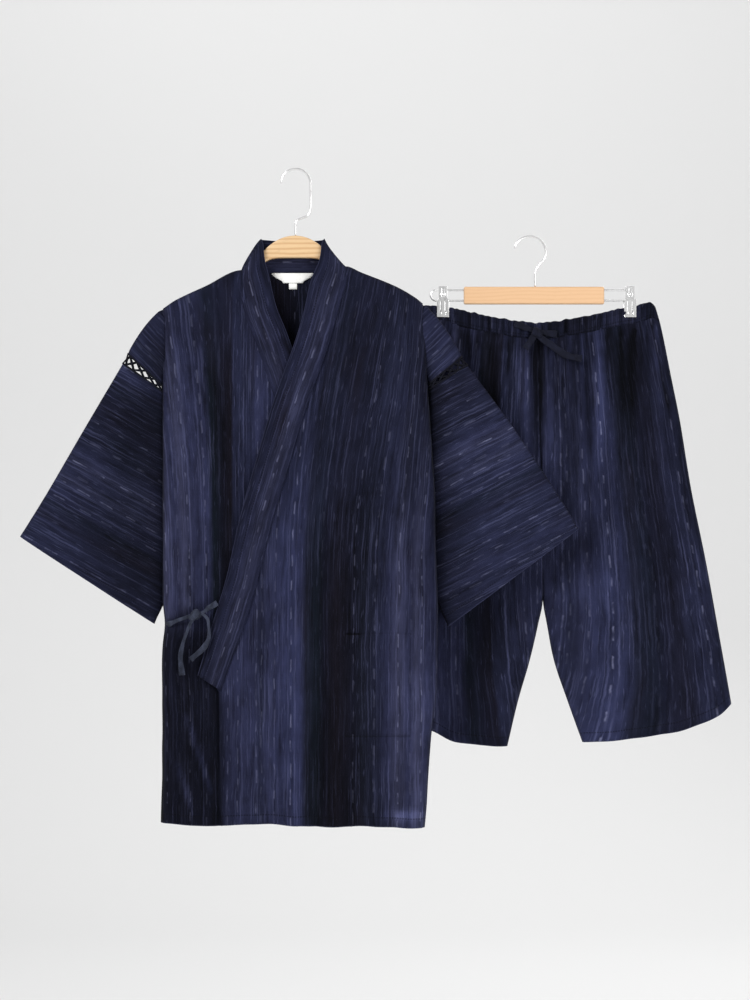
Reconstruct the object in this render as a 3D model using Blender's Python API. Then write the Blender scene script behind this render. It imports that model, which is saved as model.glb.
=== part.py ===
"""A jinbei set on its two hangers: a wrap jacket with openwork sleeve joins, and its short trousers.

Metres, +Z up. The front faces -Y. The origin is the inner top of the jacket hanger's hook, where a
peg or a rail holds it. "left" and "right" in node names are the wearer's, so the wearer's left is at +X.
Every cloth piece is a thin wall: a grid of points on its outer side, thickened inwards.
"""

import math

import bmesh
import bpy
from mathutils import Vector

# Cloth, bands and seams
CLOTH = 0.0012
BAND = 0.0024
SEAM_GAP = 0.0003
HALF_GAP = SEAM_GAP / 2
COLLAR_GAP = 0.0014  # across the collar's seam, which runs steeply
SEAM_TURN = 0.87  # how far an edge may face forward or back and still count as turned to a seam

# Jacket body
ARCH_RADIUS = 0.0095  # of the cloth over the hanger's arms
SIDE_RADIUS = 0.022  # of the rounding at the sides
SIDE_TUCK = 0.014  # how much narrower the back layer is, each side
OVERLAP_DEPTH = 0.0055  # how far the under front lies behind the over front
OVERLAP_TOP, OVERLAP_FULL = -0.150, -0.240
ARMHOLE_TOP, ARMPIT = -0.187, -0.297
SHOULDER_SETTLE = 0.020  # below the shoulder, how soon a column reaches its place across
ARMHOLE_OPEN = 0.060  # how far below the shoulder the armhole is fully open
UNDER_HEM_EDGE = 0.077  # where the hidden edge of the under front hangs
OVER_HEM_EDGE = -0.0985

# Trousers, which hang on their own hanger behind the jacket's plane
TROUSER_Y = 0.050
CASING_HEIGHT = 0.022
CROTCH = -0.581
LEG_HALF = 0.013  # half the thickness of a leg
LEG_RADIUS = 0.025
HIP_FILL = 0.120  # how far below the waist the hips reach their full thickness

# Hangers
WIRE_RADIUS = 0.0015
HOOK_RADIUS = 0.020
CLIP_HOOK_RADIUS = 0.0219
BAR_X = (0.2297, 0.422)
BAR_Z = (-0.1773, -0.1534)
BAR_HALF_DEPTH = 0.006
CLIP_WIDTH = 0.0165
CLIP_WALL = 0.002
CLIPS = {"right": 0.2012, "left": 0.4577}  # the middle of each clip, by the wearer's side
CLIP_TOP, CLIP_BRIDGE, CLIP_FOOT = -0.1525, -0.1720, -0.1950
ROD_RADIUS = 0.0014
ROD_HEIGHTS = {"upper": -0.1578, "lower": -0.1722}

TIE_WIDTH = 0.0105


def table(columns, *rows):
    """Rows of numbers, each under its column's name."""
    names = columns.split()
    return [dict(zip(names, row)) for row in rows]


BODY = table(
    "z left right front back middle",
    (-0.130, -0.178, 0.1715, -0.0095, 0.0095, 0.000),
    (-0.200, -0.178, 0.1730, -0.0135, 0.0120, 0.000),
    (-0.297, -0.178, 0.1790, -0.0200, 0.0160, -0.004),
    (-0.400, -0.178, 0.1865, -0.0240, 0.0175, -0.008),
    (-0.600, -0.178, 0.1920, -0.0260, 0.0180, -0.008),
    (-0.683, -0.177, 0.1920, -0.0265, 0.0180, -0.008),
    (-0.755, -0.179, 0.1845, -0.0265, 0.0180, -0.008),
    (-0.841, -0.180, 0.1785, -0.0265, 0.0180, -0.008),
    (-0.890, -0.181, 0.1755, -0.0265, 0.0180, -0.008),
)

# The shoulder line, which rises to the neck on both sides; the back neckline lies between.
SHOULDER = table(
    "x z",
    (-0.1780, -0.1870),
    (-0.1610, -0.1755),
    (-0.1215, -0.1570),
    (-0.0715, -0.1350),
    (-0.0600, -0.1375),
    (0.0580, -0.1375),
    (0.0690, -0.1300),
    (0.0890, -0.1380),
    (0.1360, -0.1570),
    (0.1630, -0.1725),
    (0.1715, -0.1800),
)
NECK_X = (-0.0725, 0.070)  # between these the back panel hangs from the collar

HEM = table(
    "x z",
    (-0.181, -0.8790),
    (-0.120, -0.8830),
    (-0.042, -0.8790),
    (0.010, -0.8830),
    (0.097, -0.8830),
    (0.1755, -0.8860),
)

# The collar, from the end on the over front, round the neck and down to the hidden end.
COLLAR = table(
    "free_x free_y free_z seam_x seam_y seam_z",
    (-0.1296, -0.0275, -0.6804, -0.1013, -0.0280, -0.6986),
    (-0.1202, -0.0277, -0.6480, -0.0864, -0.0280, -0.6588),
    (-0.1053, -0.0277, -0.5967, -0.0675, -0.0278, -0.6060),
    (-0.0905, -0.0274, -0.5468, -0.0527, -0.0274, -0.5549),
    (-0.0729, -0.0268, -0.4685, -0.0338, -0.0268, -0.4790),
    (-0.0540, -0.0257, -0.4010, -0.0142, -0.0258, -0.4130),
    (-0.0297, -0.0228, -0.3173, 0.0101, -0.0233, -0.3294),
    (-0.0027, -0.0186, -0.2417, 0.0371, -0.0193, -0.2538),
    (0.0115, -0.0150, -0.1944, 0.0513, -0.0160, -0.2070),
    (0.0216, -0.0130, -0.1510, 0.0600, -0.0135, -0.1740),
    (0.0330, -0.0120, -0.1230, 0.0665, -0.0120, -0.1550),
    (0.0365, -0.0100, -0.1000, 0.0690, -0.0102, -0.1400),
    (0.0390, -0.0055, -0.0945, 0.0693, -0.0066, -0.1325),
    (0.0400, 0.0000, -0.0925, 0.0690, 0.0000, -0.1297),
    (0.0390, 0.0060, -0.0930, 0.0670, 0.0060, -0.1312),
    (0.0360, 0.0092, -0.0940, 0.0585, 0.0095, -0.1345),
    (0.0240, 0.0098, -0.0950, 0.0300, 0.0100, -0.1365),
    (0.0000, 0.0098, -0.0960, 0.0000, 0.0100, -0.1365),
    (-0.0250, 0.0098, -0.0950, -0.0310, 0.0100, -0.1365),
    (-0.0400, 0.0092, -0.0940, -0.0605, 0.0095, -0.1350),
    (-0.0450, 0.0060, -0.0935, -0.0695, 0.0060, -0.1345),
    (-0.0460, 0.0000, -0.0930, -0.0715, 0.0000, -0.1347),
    (-0.0450, -0.0055, -0.0950, -0.0720, -0.0066, -0.1375),
    (-0.0425, -0.0100, -0.1020, -0.0728, -0.0102, -0.1450),
    (-0.0405, -0.0118, -0.1215, -0.0730, -0.0115, -0.1580),
    (-0.0338, -0.0115, -0.1470, -0.0700, -0.0115, -0.1700),
    (-0.0243, -0.0105, -0.1863, -0.0629, -0.0105, -0.1987),
    (-0.0081, -0.0110, -0.2268, -0.0470, -0.0115, -0.2390),
    (0.0189, -0.0160, -0.3090, -0.0200, -0.0165, -0.3210),
    (0.0459, -0.0193, -0.3929, 0.0068, -0.0198, -0.4050),
    (0.0675, -0.0207, -0.4725, 0.0284, -0.0208, -0.4833),
    (0.0850, -0.0211, -0.5468, 0.0459, -0.0212, -0.5560),
    (0.1040, -0.0214, -0.6480, 0.0675, -0.0215, -0.6575),
    (0.1120, -0.0214, -0.6885, 0.0770, -0.0215, -0.7020),
)
COLLAR_SHOULDERS = (13, 21)  # the rows that lie on the two shoulder lines

# Each sleeve, from the armhole to the cuff: the top and the bottom of each section, in X and Z.
RIGHT_SLEEVE = table(
    "top_x top_z low_x low_z middle half",
    (-0.1784, -0.1890, -0.1784, -0.2790, -0.0010, 0.0085),
    (-0.2010, -0.2150, -0.1775, -0.2870, 0.0005, 0.0080),
    (-0.2255, -0.2480, -0.1768, -0.2935, 0.0015, 0.0080),
    (-0.2325, -0.2610, -0.1762, -0.3010, 0.0020, 0.0080),
    (-0.2870, -0.3530, -0.1740, -0.3960, 0.0040, 0.0085),
    (-0.3330, -0.4320, -0.1732, -0.4850, 0.0048, 0.0090),
    (-0.3600, -0.4760, -0.1732, -0.5640, 0.0050, 0.0095),
    (-0.3720, -0.4950, -0.1900, -0.6130, 0.0050, 0.0095),
)
LEFT_SLEEVE = table(
    "top_x top_z low_x low_z middle half",
    (0.1734, -0.1830, 0.1790, -0.2790, -0.0010, 0.0085),
    (0.1990, -0.2150, 0.1795, -0.2850, 0.0005, 0.0080),
    (0.2250, -0.2520, 0.1805, -0.2890, 0.0015, 0.0080),
    (0.2325, -0.2630, 0.1810, -0.2960, 0.0020, 0.0080),
    (0.2890, -0.3390, 0.1840, -0.3960, 0.0040, 0.0085),
    (0.3395, -0.4140, 0.1868, -0.4850, 0.0048, 0.0090),
    (0.3700, -0.4620, 0.1872, -0.5640, 0.0050, 0.0095),
    (0.3829, -0.4850, 0.2065, -0.6170, 0.0050, 0.0095),
)
CAP_ROWS, LATTICE_ROWS, SLEEVE_ROWS = (0, 2), (2, 3), (3, 7)

TROUSERS = table(
    "z right left",
    (-0.174, 0.1700, 0.4906),
    (-0.208, 0.1630, 0.5002),
    (-0.2755, 0.1500, 0.5139),
    (-0.337, 0.1380, 0.5262),
    (-0.429, 0.1220, 0.5413),
    (-0.5305, 0.1080, 0.5619),
    (-0.629, 0.0980, 0.5797),
    (-0.730, 0.0880, 0.5975),
    (-0.790, 0.0850, 0.6060),
)
# The seam between the legs: one line to the crotch, then each leg's inner edge.
INSEAM = table(
    "z right left",
    (-0.1900, 0.3310, 0.3310),
    (CROTCH, 0.3380, 0.3380),
    (-0.6169, 0.3315, 0.3438),
    (-0.6663, 0.3199, 0.3535),
    (-0.7211, 0.3041, 0.3720),
    (-0.7850, 0.2890, 0.3950),
)
WAIST = table(
    "across z half",
    (0.000, -0.1780, 0.0000),
    (0.006, -0.1781, 0.0016),
    (0.045, -0.1790, 0.0020),
    (0.075, -0.1796, 0.0018),
    (0.137, -0.1825, 0.0018),
    (0.170, -0.1845, 0.0040),
    (0.300, -0.1940, 0.0070),
    (0.500, -0.2028, 0.0090),
    (0.700, -0.1935, 0.0070),
    (0.830, -0.1845, 0.0040),
    (0.855, -0.1830, 0.0018),
    (0.917, -0.1795, 0.0018),
    (0.955, -0.1765, 0.0020),
    (0.994, -0.1787, 0.0016),
    (1.000, -0.1790, 0.0000),
)
# Each leg's hem, from the inner seam to the outer one.
HEMS = {
    "right": table(
        "out z",
        (0.00, -0.7828), (0.12, -0.7814), (0.35, -0.7765), (0.51, -0.7620),
        (0.74, -0.7450), (0.90, -0.7320), (1.00, -0.7230),
    ),
    "left": table(
        "out z",
        (0.00, -0.7773), (0.13, -0.7760), (0.43, -0.7684), (0.70, -0.7581),
        (0.90, -0.7403), (1.00, -0.7245),
    ),
}

HANGER = table(
    "x top bottom half",
    (0.000, -0.0880, -0.1190, 0.0060),
    (0.014, -0.0900, -0.1190, 0.0060),
    (0.027, -0.0960, -0.1195, 0.0060),
    (0.040, -0.1060, -0.1225, 0.0060),
    (0.055, -0.1230, -0.1400, 0.0055),
    (0.072, -0.1430, -0.1610, 0.0055),
    (0.1215, -0.1600, -0.1790, 0.0060),
    (0.160, -0.1785, -0.1960, 0.0055),
    (0.170, -0.1850, -0.2000, 0.0035),
)

COLOURS = {
    "cloth": ((0.012, 0.014, 0.040, 1), 0.85, 0.0),
    "lace": ((0.006, 0.007, 0.012, 1), 0.8, 0.0),
    "tie": ((0.035, 0.042, 0.065, 1), 0.8, 0.0),
    "label": ((0.85, 0.85, 0.83, 1), 0.7, 0.0),
    "wood": ((0.72, 0.50, 0.27, 1), 0.5, 0.0),
    "bar_wood": ((0.62, 0.36, 0.16, 1), 0.5, 0.0),
    "steel": ((0.75, 0.75, 0.77, 1), 0.2, 1.0),
}


# Reading the tables

def ease(value):
    """0 to 1, smoothly, as the value goes from 0 to 1."""
    value = min(max(value, 0.0), 1.0)
    return value * value * (3 - 2 * value)


def mix(a, b, share):
    return a + (b - a) * share


def read(rows, key, at, column):
    """The column's value where the key column is at, along straight lines between rows."""
    ordered = rows if rows[0][key] < rows[-1][key] else rows[::-1]
    if at <= ordered[0][key]:
        return ordered[0][column]
    for low, high in zip(ordered, ordered[1:]):
        if at <= high[key]:
            share = (at - low[key]) / (high[key] - low[key])
            return mix(low[column], high[column], share)
    return ordered[-1][column]


def rounding(distance, radius):
    """0 on a silhouette and 1 from radius inside it, along a quarter circle."""
    return math.sqrt(max(0.0, 1 - (1 - min(max(distance / radius, 0.0), 1.0)) ** 2))


def spaced(count, crowd_start=True, crowd_end=True):
    """count + 1 values from 0 to 1, closer together at the ends that are crowded."""
    values = []
    for i in range(count + 1):
        share = i / count
        if crowd_start and crowd_end:
            share = (1 - math.cos(math.pi * share)) / 2
        elif crowd_start:
            share = 1 - math.cos(math.pi * share / 2)
        elif crowd_end:
            share = math.sin(math.pi * share / 2)
        values.append(share)
    return values


def smooth_path(points, steps):
    """A curve through the points, with that many steps between each two."""
    points = [Vector(p) for p in points]
    ends = [2 * points[0] - points[1], *points, 2 * points[-1] - points[-2]]
    path = []
    for a, b, c, d in zip(ends, ends[1:], ends[2:], ends[3:]):
        for i in range(steps):
            t = i / steps
            path.append(
                0.5 * (2 * b + (c - a) * t + (2 * a - 5 * b + 4 * c - d) * t ** 2
                       + (3 * b - a - 3 * c + d) * t ** 3)
            )
    return [*path, points[-1]]


# Making objects

def material(name):
    found = bpy.data.materials.get(name)
    if found:
        return found
    colour, rough, metal = COLOURS[name]
    found = bpy.data.materials.new(name)
    found.use_nodes = True
    found.diffuse_color = colour
    shader = found.node_tree.nodes["Principled BSDF"]
    shader.inputs["Base Color"].default_value = colour
    shader.inputs["Roughness"].default_value = rough
    shader.inputs["Metallic"].default_value = metal
    return found


def add_object(name, data, finish):
    made = bpy.data.objects.new(name, data)
    data.materials.append(material(finish))
    bpy.context.scene.collection.objects.link(made)
    return made


def ring_inner(ring, thick):
    """The inner side of a ring, moved in within the ring's own plane, so that rings end to end match."""
    count = len(ring)
    middle = sum(ring, Vector()) / count
    plane = Vector()
    for i, place in enumerate(ring):
        plane += (place - middle).cross(ring[(i + 1) % count] - middle)
    inner = []
    for i, place in enumerate(ring):
        out = (ring[(i + 1) % count] - ring[i - 1]).cross(plane).normalized()
        inner.append(place - out * thick)
    return inner


def sheet_inner(rows, thick, outward):
    """The inner side of a sheet, whose middle faces outward. Where an edge is turned sideways or
    upwards it meets another panel, so there it moves in without leaving the seam's plane."""
    last_row, last_column = len(rows) - 1, len(rows[0]) - 1

    def normal(i, j):
        down = rows[min(i + 1, last_row)][j] - rows[max(i - 1, 0)][j]
        along = rows[i][min(j + 1, last_column)] - rows[i][max(j - 1, 0)]
        return down.cross(along).normalized()

    facing = normal(last_row // 2, last_column // 2).dot(Vector(outward))
    inner = []
    for i, row in enumerate(rows):
        made = []
        for j, place in enumerate(row):
            out = normal(i, j) * math.copysign(1, facing)
            if (i in (0, last_row) or j in (0, last_column)) and abs(out.y) < SEAM_TURN:
                out.y = 0
                out.normalize()
            made.append(place - out * thick)
        inner.append(made)
    return inner


def border(grid):
    """The grid's outline, once round."""
    right = [row[-1] for row in grid[1:-1]]
    left = [row[0] for row in grid[1:-1]]
    return [*grid[0], *right, *grid[-1][::-1], *left[::-1]]


def wall(name, rows, thick, finish, outward=(0, -1, 0), ring=False):
    """A cloth wall from rows of points on its outer side. With ring, each row closes on itself."""
    rows = [[Vector(place) for place in row] for row in rows]
    inner = [ring_inner(row, thick) for row in rows] if ring else sheet_inner(rows, thick, outward)
    mesh = bmesh.new()
    grids = [[[mesh.verts.new(p) for p in row] for row in side] for side in (rows, inner)]
    for grid in grids:
        for lower, upper in zip(grid, grid[1:]):
            for i in range(len(lower) if ring else len(lower) - 1):
                j = (i + 1) % len(lower)
                mesh.faces.new((lower[i], lower[j], upper[j], upper[i]))
    outside, inside = grids
    if ring:
        rims = [(outside[0], inside[0]), (outside[-1], inside[-1])]
    else:
        rims = [(border(outside), border(inside))]
    for outer_rim, inner_rim in rims:
        for i in range(len(outer_rim)):
            mesh.faces.new((outer_rim[i - 1], outer_rim[i], inner_rim[i], inner_rim[i - 1]))
    bmesh.ops.recalc_face_normals(mesh, faces=mesh.faces)
    data = bpy.data.meshes.new(name)
    mesh.to_mesh(data)
    mesh.free()
    data.shade_smooth()
    return add_object(name, data, finish)


def wire(name, points, radius, finish, resolution=3):
    """A round wire along the points."""
    curve = bpy.data.curves.new(name, "CURVE")
    curve.dimensions = "3D"
    curve.bevel_depth = radius
    curve.bevel_resolution = resolution
    curve.use_fill_caps = True
    spline = curve.splines.new("POLY")
    spline.points.add(len(points) - 1)
    for point, place in zip(spline.points, points):
        point.co = (*place, 1)
    return add_object(name, curve, finish)


def arc(centre_x, centre_z, radius, start, end, steps):
    """(x, z) points on an arc, the angles in degrees from +X towards +Z."""
    angles = [math.radians(mix(start, end, i / steps)) for i in range(steps + 1)]
    return [(centre_x + radius * math.cos(a), centre_z + radius * math.sin(a)) for a in angles]


# The jacket's body

def overlap_inset(z):
    """How far the under front lies behind the over front at this height."""
    return OVERLAP_DEPTH * ease((OVERLAP_TOP - z) / (OVERLAP_TOP - OVERLAP_FULL))


def body_point(x, z, side, inset=0.0):
    """A point on the body's outer surface: side is -1 on the front and 1 on the back."""
    left, right = (read(BODY, "z", z, column) for column in ("left", "right"))
    middle = read(BODY, "z", z, "middle")
    layer = read(BODY, "z", z, "front") + inset if side < 0 else read(BODY, "z", z, "back")
    open_by = SIDE_RADIUS * ease((z - ARMPIT) / (ARMHOLE_TOP - ARMHOLE_OPEN - ARMPIT))
    from_side = min(x - left, right - x) + open_by
    below = read(SHOULDER, "x", x, "z") - z
    if side > 0 and NECK_X[0] < x < NECK_X[1]:
        below += ARCH_RADIUS
    full = rounding(from_side, SIDE_RADIUS) * rounding(below, ARCH_RADIUS)
    y = middle * rounding(below, ARCH_RADIUS) + (layer - middle) * full
    if side > 0:
        centre = (left + right) / 2
        tuck = SIDE_TUCK * min(max((y - middle) / (layer - middle), 0.0), 1.0)
        tuck *= ease((ARMHOLE_TOP - z) / (ARMHOLE_TOP - ARMPIT))
        x -= tuck * (x - centre) / (right - centre)
    return Vector((x, y, z))


ROW_DEPTHS = (0.0, 0.0014, 0.0045, 0.0095, 0.022, 0.045, 0.075, 0.105, 0.135, 0.185)
LOWER_ROWS = 8


def body_heights(top, bottom):
    """Heights down a column: close together over the hanger's arm, then even."""
    last = ROW_DEPTHS[-1]
    even = [last + (top - bottom - last) * (i + 1) / LOWER_ROWS for i in range(LOWER_ROWS)]
    return [top - depth for depth in (*ROW_DEPTHS, *even)]


def collar_seam(z, rows):
    """The collar's seam line at a height, on one front."""
    return read(rows, "seam_z", z, "seam_x")


def front_panel(name, rows, direction, hem_edge, inset_by):
    """One front, from its collar seam out to its side. direction is the side's, along X."""
    side_column, shoulder_end = ("right", SHOULDER[-1]) if direction > 0 else ("left", SHOULDER[0])
    neck_x = rows[-1]["seam_x"] + direction * COLLAR_GAP
    collar_end = rows[0]["seam_z"]
    columns = []
    for share in spaced(13, crowd_start=False):
        top_x = mix(neck_x, shoulder_end["x"], share)
        top = read(SHOULDER, "x", top_x, "z")
        column = []
        for z in body_heights(top, read(HEM, "x", mix(hem_edge, shoulder_end["x"], share), "z")):
            if z > collar_end:
                inner = collar_seam(z, rows)
            else:
                fall = (collar_end - z) / (collar_end - HEM[0]["z"])
                inner = mix(rows[0]["seam_x"], hem_edge, min(fall, 1.0))
            x = mix(inner + direction * COLLAR_GAP, read(BODY, "z", z, side_column), share)
            if 0 < share < 1:
                x = mix(top_x, x, ease((top - z) / SHOULDER_SETTLE))
            point = body_point(x, z, -1, inset_by(z))
            point.y -= HALF_GAP
            column.append(point)
        columns.append(column)
    wall(name, columns, CLOTH, "cloth")


def jacket_back():
    left, right = SHOULDER[0]["x"], SHOULDER[-1]["x"]
    columns = []
    for share in spaced(18):
        top_x = mix(left, right, share)
        top = read(SHOULDER, "x", top_x, "z")
        if NECK_X[0] < top_x < NECK_X[1]:
            top -= SEAM_GAP * 2
        column = []
        for z in body_heights(top, read(HEM, "x", top_x, "z")):
            x = mix(read(BODY, "z", z, "left"), read(BODY, "z", z, "right"), share)
            point = body_point(x, z, 1)
            point.y += HALF_GAP
            column.append(point)
        columns.append(column)
    wall("jacket_back", columns, CLOTH, "cloth", outward=(0, 1, 0))


def jacket_fronts():
    over_row, under_row = COLLAR_SHOULDERS
    over = COLLAR[: over_row + 1]
    under = COLLAR[under_row:][::-1]
    front_panel("jacket_front_left", over, 1, OVER_HEM_EDGE, lambda z: 0.0)
    front_panel("jacket_front_right", under, -1, UNDER_HEM_EDGE, overlap_inset)


def jacket_collar():
    """One folded band, from the over front's end round the neck to the under front's."""
    band = []
    for edge in ("free", "seam"):
        band.append([Vector((row[f"{edge}_x"], row[f"{edge}_y"], row[f"{edge}_z"])) for row in COLLAR])
    band.insert(1, [(a + b) / 2 for a, b in zip(*band)])
    wall("jacket_collar", band, BAND, "cloth", outward=(0, 1, 0))


def sleeve_ring(rows, at, around=20):
    """One section of a sleeve, at a whole or part row."""
    index = min(int(at), len(rows) - 2)
    share = at - index
    here = {key: mix(rows[index][key], rows[index + 1][key], share) for key in rows[0]}
    ring = []
    for i in range(around):
        turn = math.cos(2 * math.pi * i / around)
        up = (1 + turn) / 2
        bulge = (1 - abs(turn) ** 2.6) ** (1 / 2.6)
        front = -1 if i < around / 2 else 1
        ring.append(
            Vector((
                mix(here["low_x"], here["top_x"], up),
                here["middle"] + front * here["half"] * bulge,
                mix(here["low_z"], here["top_z"], up),
            ))
        )
    return ring


def pulled(ring, toward):
    """The ring moved a seam gap towards another."""
    return [a + (b - a).normalized() * SEAM_GAP for a, b in zip(ring, toward)]


def sleeve_piece(name, rows, span, steps, finish):
    """A tube between two rows of a sleeve's table, just short of both."""
    rings = [sleeve_ring(rows, mix(*span, i / steps)) for i in range(steps + 1)]
    rings[0] = pulled(rings[0], rings[1])
    rings[-1] = pulled(rings[-1], rings[-2])
    wall(name, rings, CLOTH, finish, ring=True)


def jacket_sleeves():
    for side, rows in (("right", RIGHT_SLEEVE), ("left", LEFT_SLEEVE)):
        sleeve_piece(f"jacket_sleeve_cap_{side}", rows, CAP_ROWS, 2, "cloth")
        sleeve_piece(f"jacket_sleeve_lattice_{side}", rows, LATTICE_ROWS, 1, "lace")
        sleeve_piece(f"jacket_sleeve_{side}", rows, SLEEVE_ROWS, 7, "cloth")


POCKET = {"x": (0.0675, 0.1560), "z": (-0.6240, -0.7630), "lift": 0.0016, "mouth": 0.0035}


def jacket_pocket():
    """A patch on the over front, whose mouth stands a little away from it."""
    rows = []
    for i in range(7):
        down = i / 6
        z = mix(*POCKET["z"], down)
        row = []
        for j in range(9):
            point = body_point(mix(*POCKET["x"], j / 8), z, -1)
            gape = POCKET["mouth"] * math.sin(math.pi * j / 8) * (1 - ease(down * 2))
            point.y -= POCKET["lift"] + gape
            row.append(point)
        rows.append(row)
    wall("jacket_pocket", rows, CLOTH, "cloth")


def ribbon(name, points, width, finish="tie", steps=3, thick=CLOTH):
    """A flat strip along the points, its width across them in the XZ plane."""
    path = smooth_path(points, steps)
    edges = ([], [])
    for i, place in enumerate(path):
        along = path[min(i + 1, len(path) - 1)] - path[max(i - 1, 0)]
        across = Vector((-along.z, 0, along.x)).normalized() * width / 2
        edges[0].append(place - across)
        edges[1].append(place + across)
    wall(name, edges, thick, finish)


def knot(name, centre, size, finish="tie"):
    """A pulled knot: a small ball flattened to its three sizes."""
    mesh = bmesh.new()
    bmesh.ops.create_icosphere(mesh, subdivisions=2, radius=0.5)
    bmesh.ops.scale(mesh, vec=size, verts=mesh.verts)
    data = bpy.data.meshes.new(name)
    mesh.to_mesh(data)
    mesh.free()
    data.shade_smooth()
    add_object(name, data, finish).location = centre


TIE_KNOT = (-0.1310, -0.0290, -0.5985)
TIE_ROUTES = {
    "jacket_tie_side": (
        (-0.1745, -0.0215, -0.6135), (-0.1600, -0.0250, -0.6085), (-0.1385, -0.0290, -0.6000),
    ),
    "jacket_tie_collar": (
        (-0.1235, -0.0290, -0.5965), (-0.1165, -0.0285, -0.5920), (-0.1105, -0.0270, -0.5870),
    ),
    "jacket_tie_tail_side": (
        (-0.1375, -0.0300, -0.6075), (-0.1480, -0.0300, -0.6270),
        (-0.1545, -0.0270, -0.6530), (-0.1520, -0.0255, -0.6800),
    ),
    "jacket_tie_tail_collar": (
        (-0.1245, -0.0310, -0.6050), (-0.1170, -0.0335, -0.6210),
        (-0.1215, -0.0340, -0.6420), (-0.1400, -0.0325, -0.6600),
    ),
}


def jacket_ties():
    for name, route in TIE_ROUTES.items():
        ribbon(name, route, TIE_WIDTH)
    knot("jacket_tie_knot", TIE_KNOT, (0.013, 0.008, 0.014))


LABEL = {"x": -0.003, "top": -0.1385, "width": (0.058, 0.027), "height": 0.0135}
LABEL_TAB = {"width": 0.011, "height": 0.008}
LABEL_THICK = 0.0006


def neck_label():
    """A bare woven label inside the back, wide at the top, with its small size tab below."""
    rows = []
    for i in range(4):
        down = i / 3
        width = mix(*LABEL["width"], ease(down))
        z = LABEL["top"] - LABEL["height"] * down
        y = body_point(LABEL["x"], z, 1).y - CLOTH - 2 * SEAM_GAP
        rows.append([(LABEL["x"] + width * (j / 6 - 0.5), y, z) for j in range(7)])
    wall("neck_label", rows, LABEL_THICK, "label", outward=(0, 1, 0))
    top = LABEL["top"] - LABEL["height"] - SEAM_GAP
    tab = []
    for z in (top, top - LABEL_TAB["height"]):
        y = body_point(LABEL["x"], z, 1).y - CLOTH - 2 * SEAM_GAP
        tab.append([(LABEL["x"] + LABEL_TAB["width"] * (j / 2 - 0.5), y, z) for j in range(3)])
    wall("neck_size_tab", tab, LABEL_THICK, "label", outward=(0, 1, 0))


# The trousers

def trouser_point(across, z, side, inner=None):
    """A point on the trousers: across is 0 at the wearer's right edge and 1 at the left."""
    right, left = (read(TROUSERS, "z", z, column) for column in ("right", "left"))
    x = mix(right, left, across)
    waist = read(WAIST, "across", across, "half")
    below = read(WAIST, "across", across, "z") - z
    from_edge = min(x - right, left - x)
    hips = LEG_HALF * rounding(from_edge, LEG_RADIUS)
    if inner is not None:
        hips *= rounding(abs(x - inner) + max(z - CROTCH, 0.0), LEG_RADIUS)
    half = mix(waist, hips, ease((below - CASING_HEIGHT) / HIP_FILL))
    return Vector((x, TROUSER_Y + side * half, z))


# How far across a leg its columns stand, and how far down its rows; closer at the seams and the crotch
LEG_COLUMNS = (0.0, 0.006, 0.04, 0.14, 0.32, 0.50, 0.62, 0.73, 0.86, 0.96, 0.988, 1.0)
LEG_ROWS = (0.0, 0.06, 0.13, 0.22, 0.33, 0.45, 0.55, 0.62, 0.67, 0.72, 0.80, 0.90, 1.0)


def trouser_casing():
    """The waist casing, one gathered ring that the drawstring runs through."""
    rows = []
    places = [(1 - out) / 2 for out in LEG_COLUMNS[::-1]] + [(1 + out) / 2 for out in LEG_COLUMNS[1:]]
    for depth in (0.0, CASING_HEIGHT / 2, CASING_HEIGHT):
        ring = []
        for side, order in ((-1, places), (1, places[-2:0:-1])):
            for across in order:
                z = read(WAIST, "across", across, "z") - depth
                ring.append(trouser_point(across, z, side))
        rows.append(ring)
    wall("trouser_waist_casing", rows, CLOTH, "cloth", ring=True)




def trouser_panel(name, leg, side):
    """The front or the back of one leg, from the middle seam out to the side seam."""
    outward = -1 if leg == "right" else 1
    columns = []
    for out in LEG_COLUMNS:
        top_across = 0.5 + outward * out / 2
        top = read(WAIST, "across", top_across, "z") - CASING_HEIGHT - SEAM_GAP
        hem = read(HEMS[leg], "out", out, "z")
        column = []
        for share in LEG_ROWS:
            z = mix(top, hem, share)
            inner = read(INSEAM, "z", z, leg) + outward * HALF_GAP
            outer = read(TROUSERS, "z", z, leg)
            x = mix(inner, outer, out)
            right, left = (read(TROUSERS, "z", z, key) for key in ("right", "left"))
            point = trouser_point((x - right) / (left - right), z, side, inner)
            point.y += side * HALF_GAP
            column.append(point)
        columns.append(column)
    wall(name, columns, CLOTH, "cloth", outward=(0, side, 0))


DRAWSTRING_KNOT = (0.3275, 0.0340, -0.2165)
DRAWSTRING_ROUTES = {
    "drawstring_right": (
        (0.2985, 0.0385, -0.2050), (0.3100, 0.0360, -0.2085), (0.3195, 0.0345, -0.2130),
    ),
    "drawstring_left": (
        (0.3355, 0.0345, -0.2165), (0.3460, 0.0365, -0.2180), (0.3565, 0.0385, -0.2190),
    ),
    "drawstring_tail_left": (
        (0.3345, 0.0325, -0.2245), (0.3500, 0.0320, -0.2355),
        (0.3690, 0.0320, -0.2480), (0.3900, 0.0320, -0.2530),
    ),
    "drawstring_tail_right": (
        (0.3235, 0.0335, -0.2235), (0.3190, 0.0330, -0.2310), (0.3130, 0.0325, -0.2390),
    ),
}


def trousers():
    trouser_casing()
    for leg in ("right", "left"):
        trouser_panel(f"trouser_front_{leg}", leg, -1)
        trouser_panel(f"trouser_back_{leg}", leg, 1)
    for name, route in DRAWSTRING_ROUTES.items():
        ribbon(name, route, TIE_WIDTH)
    knot("drawstring_knot", DRAWSTRING_KNOT, (0.013, 0.008, 0.012))


# The hangers

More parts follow.
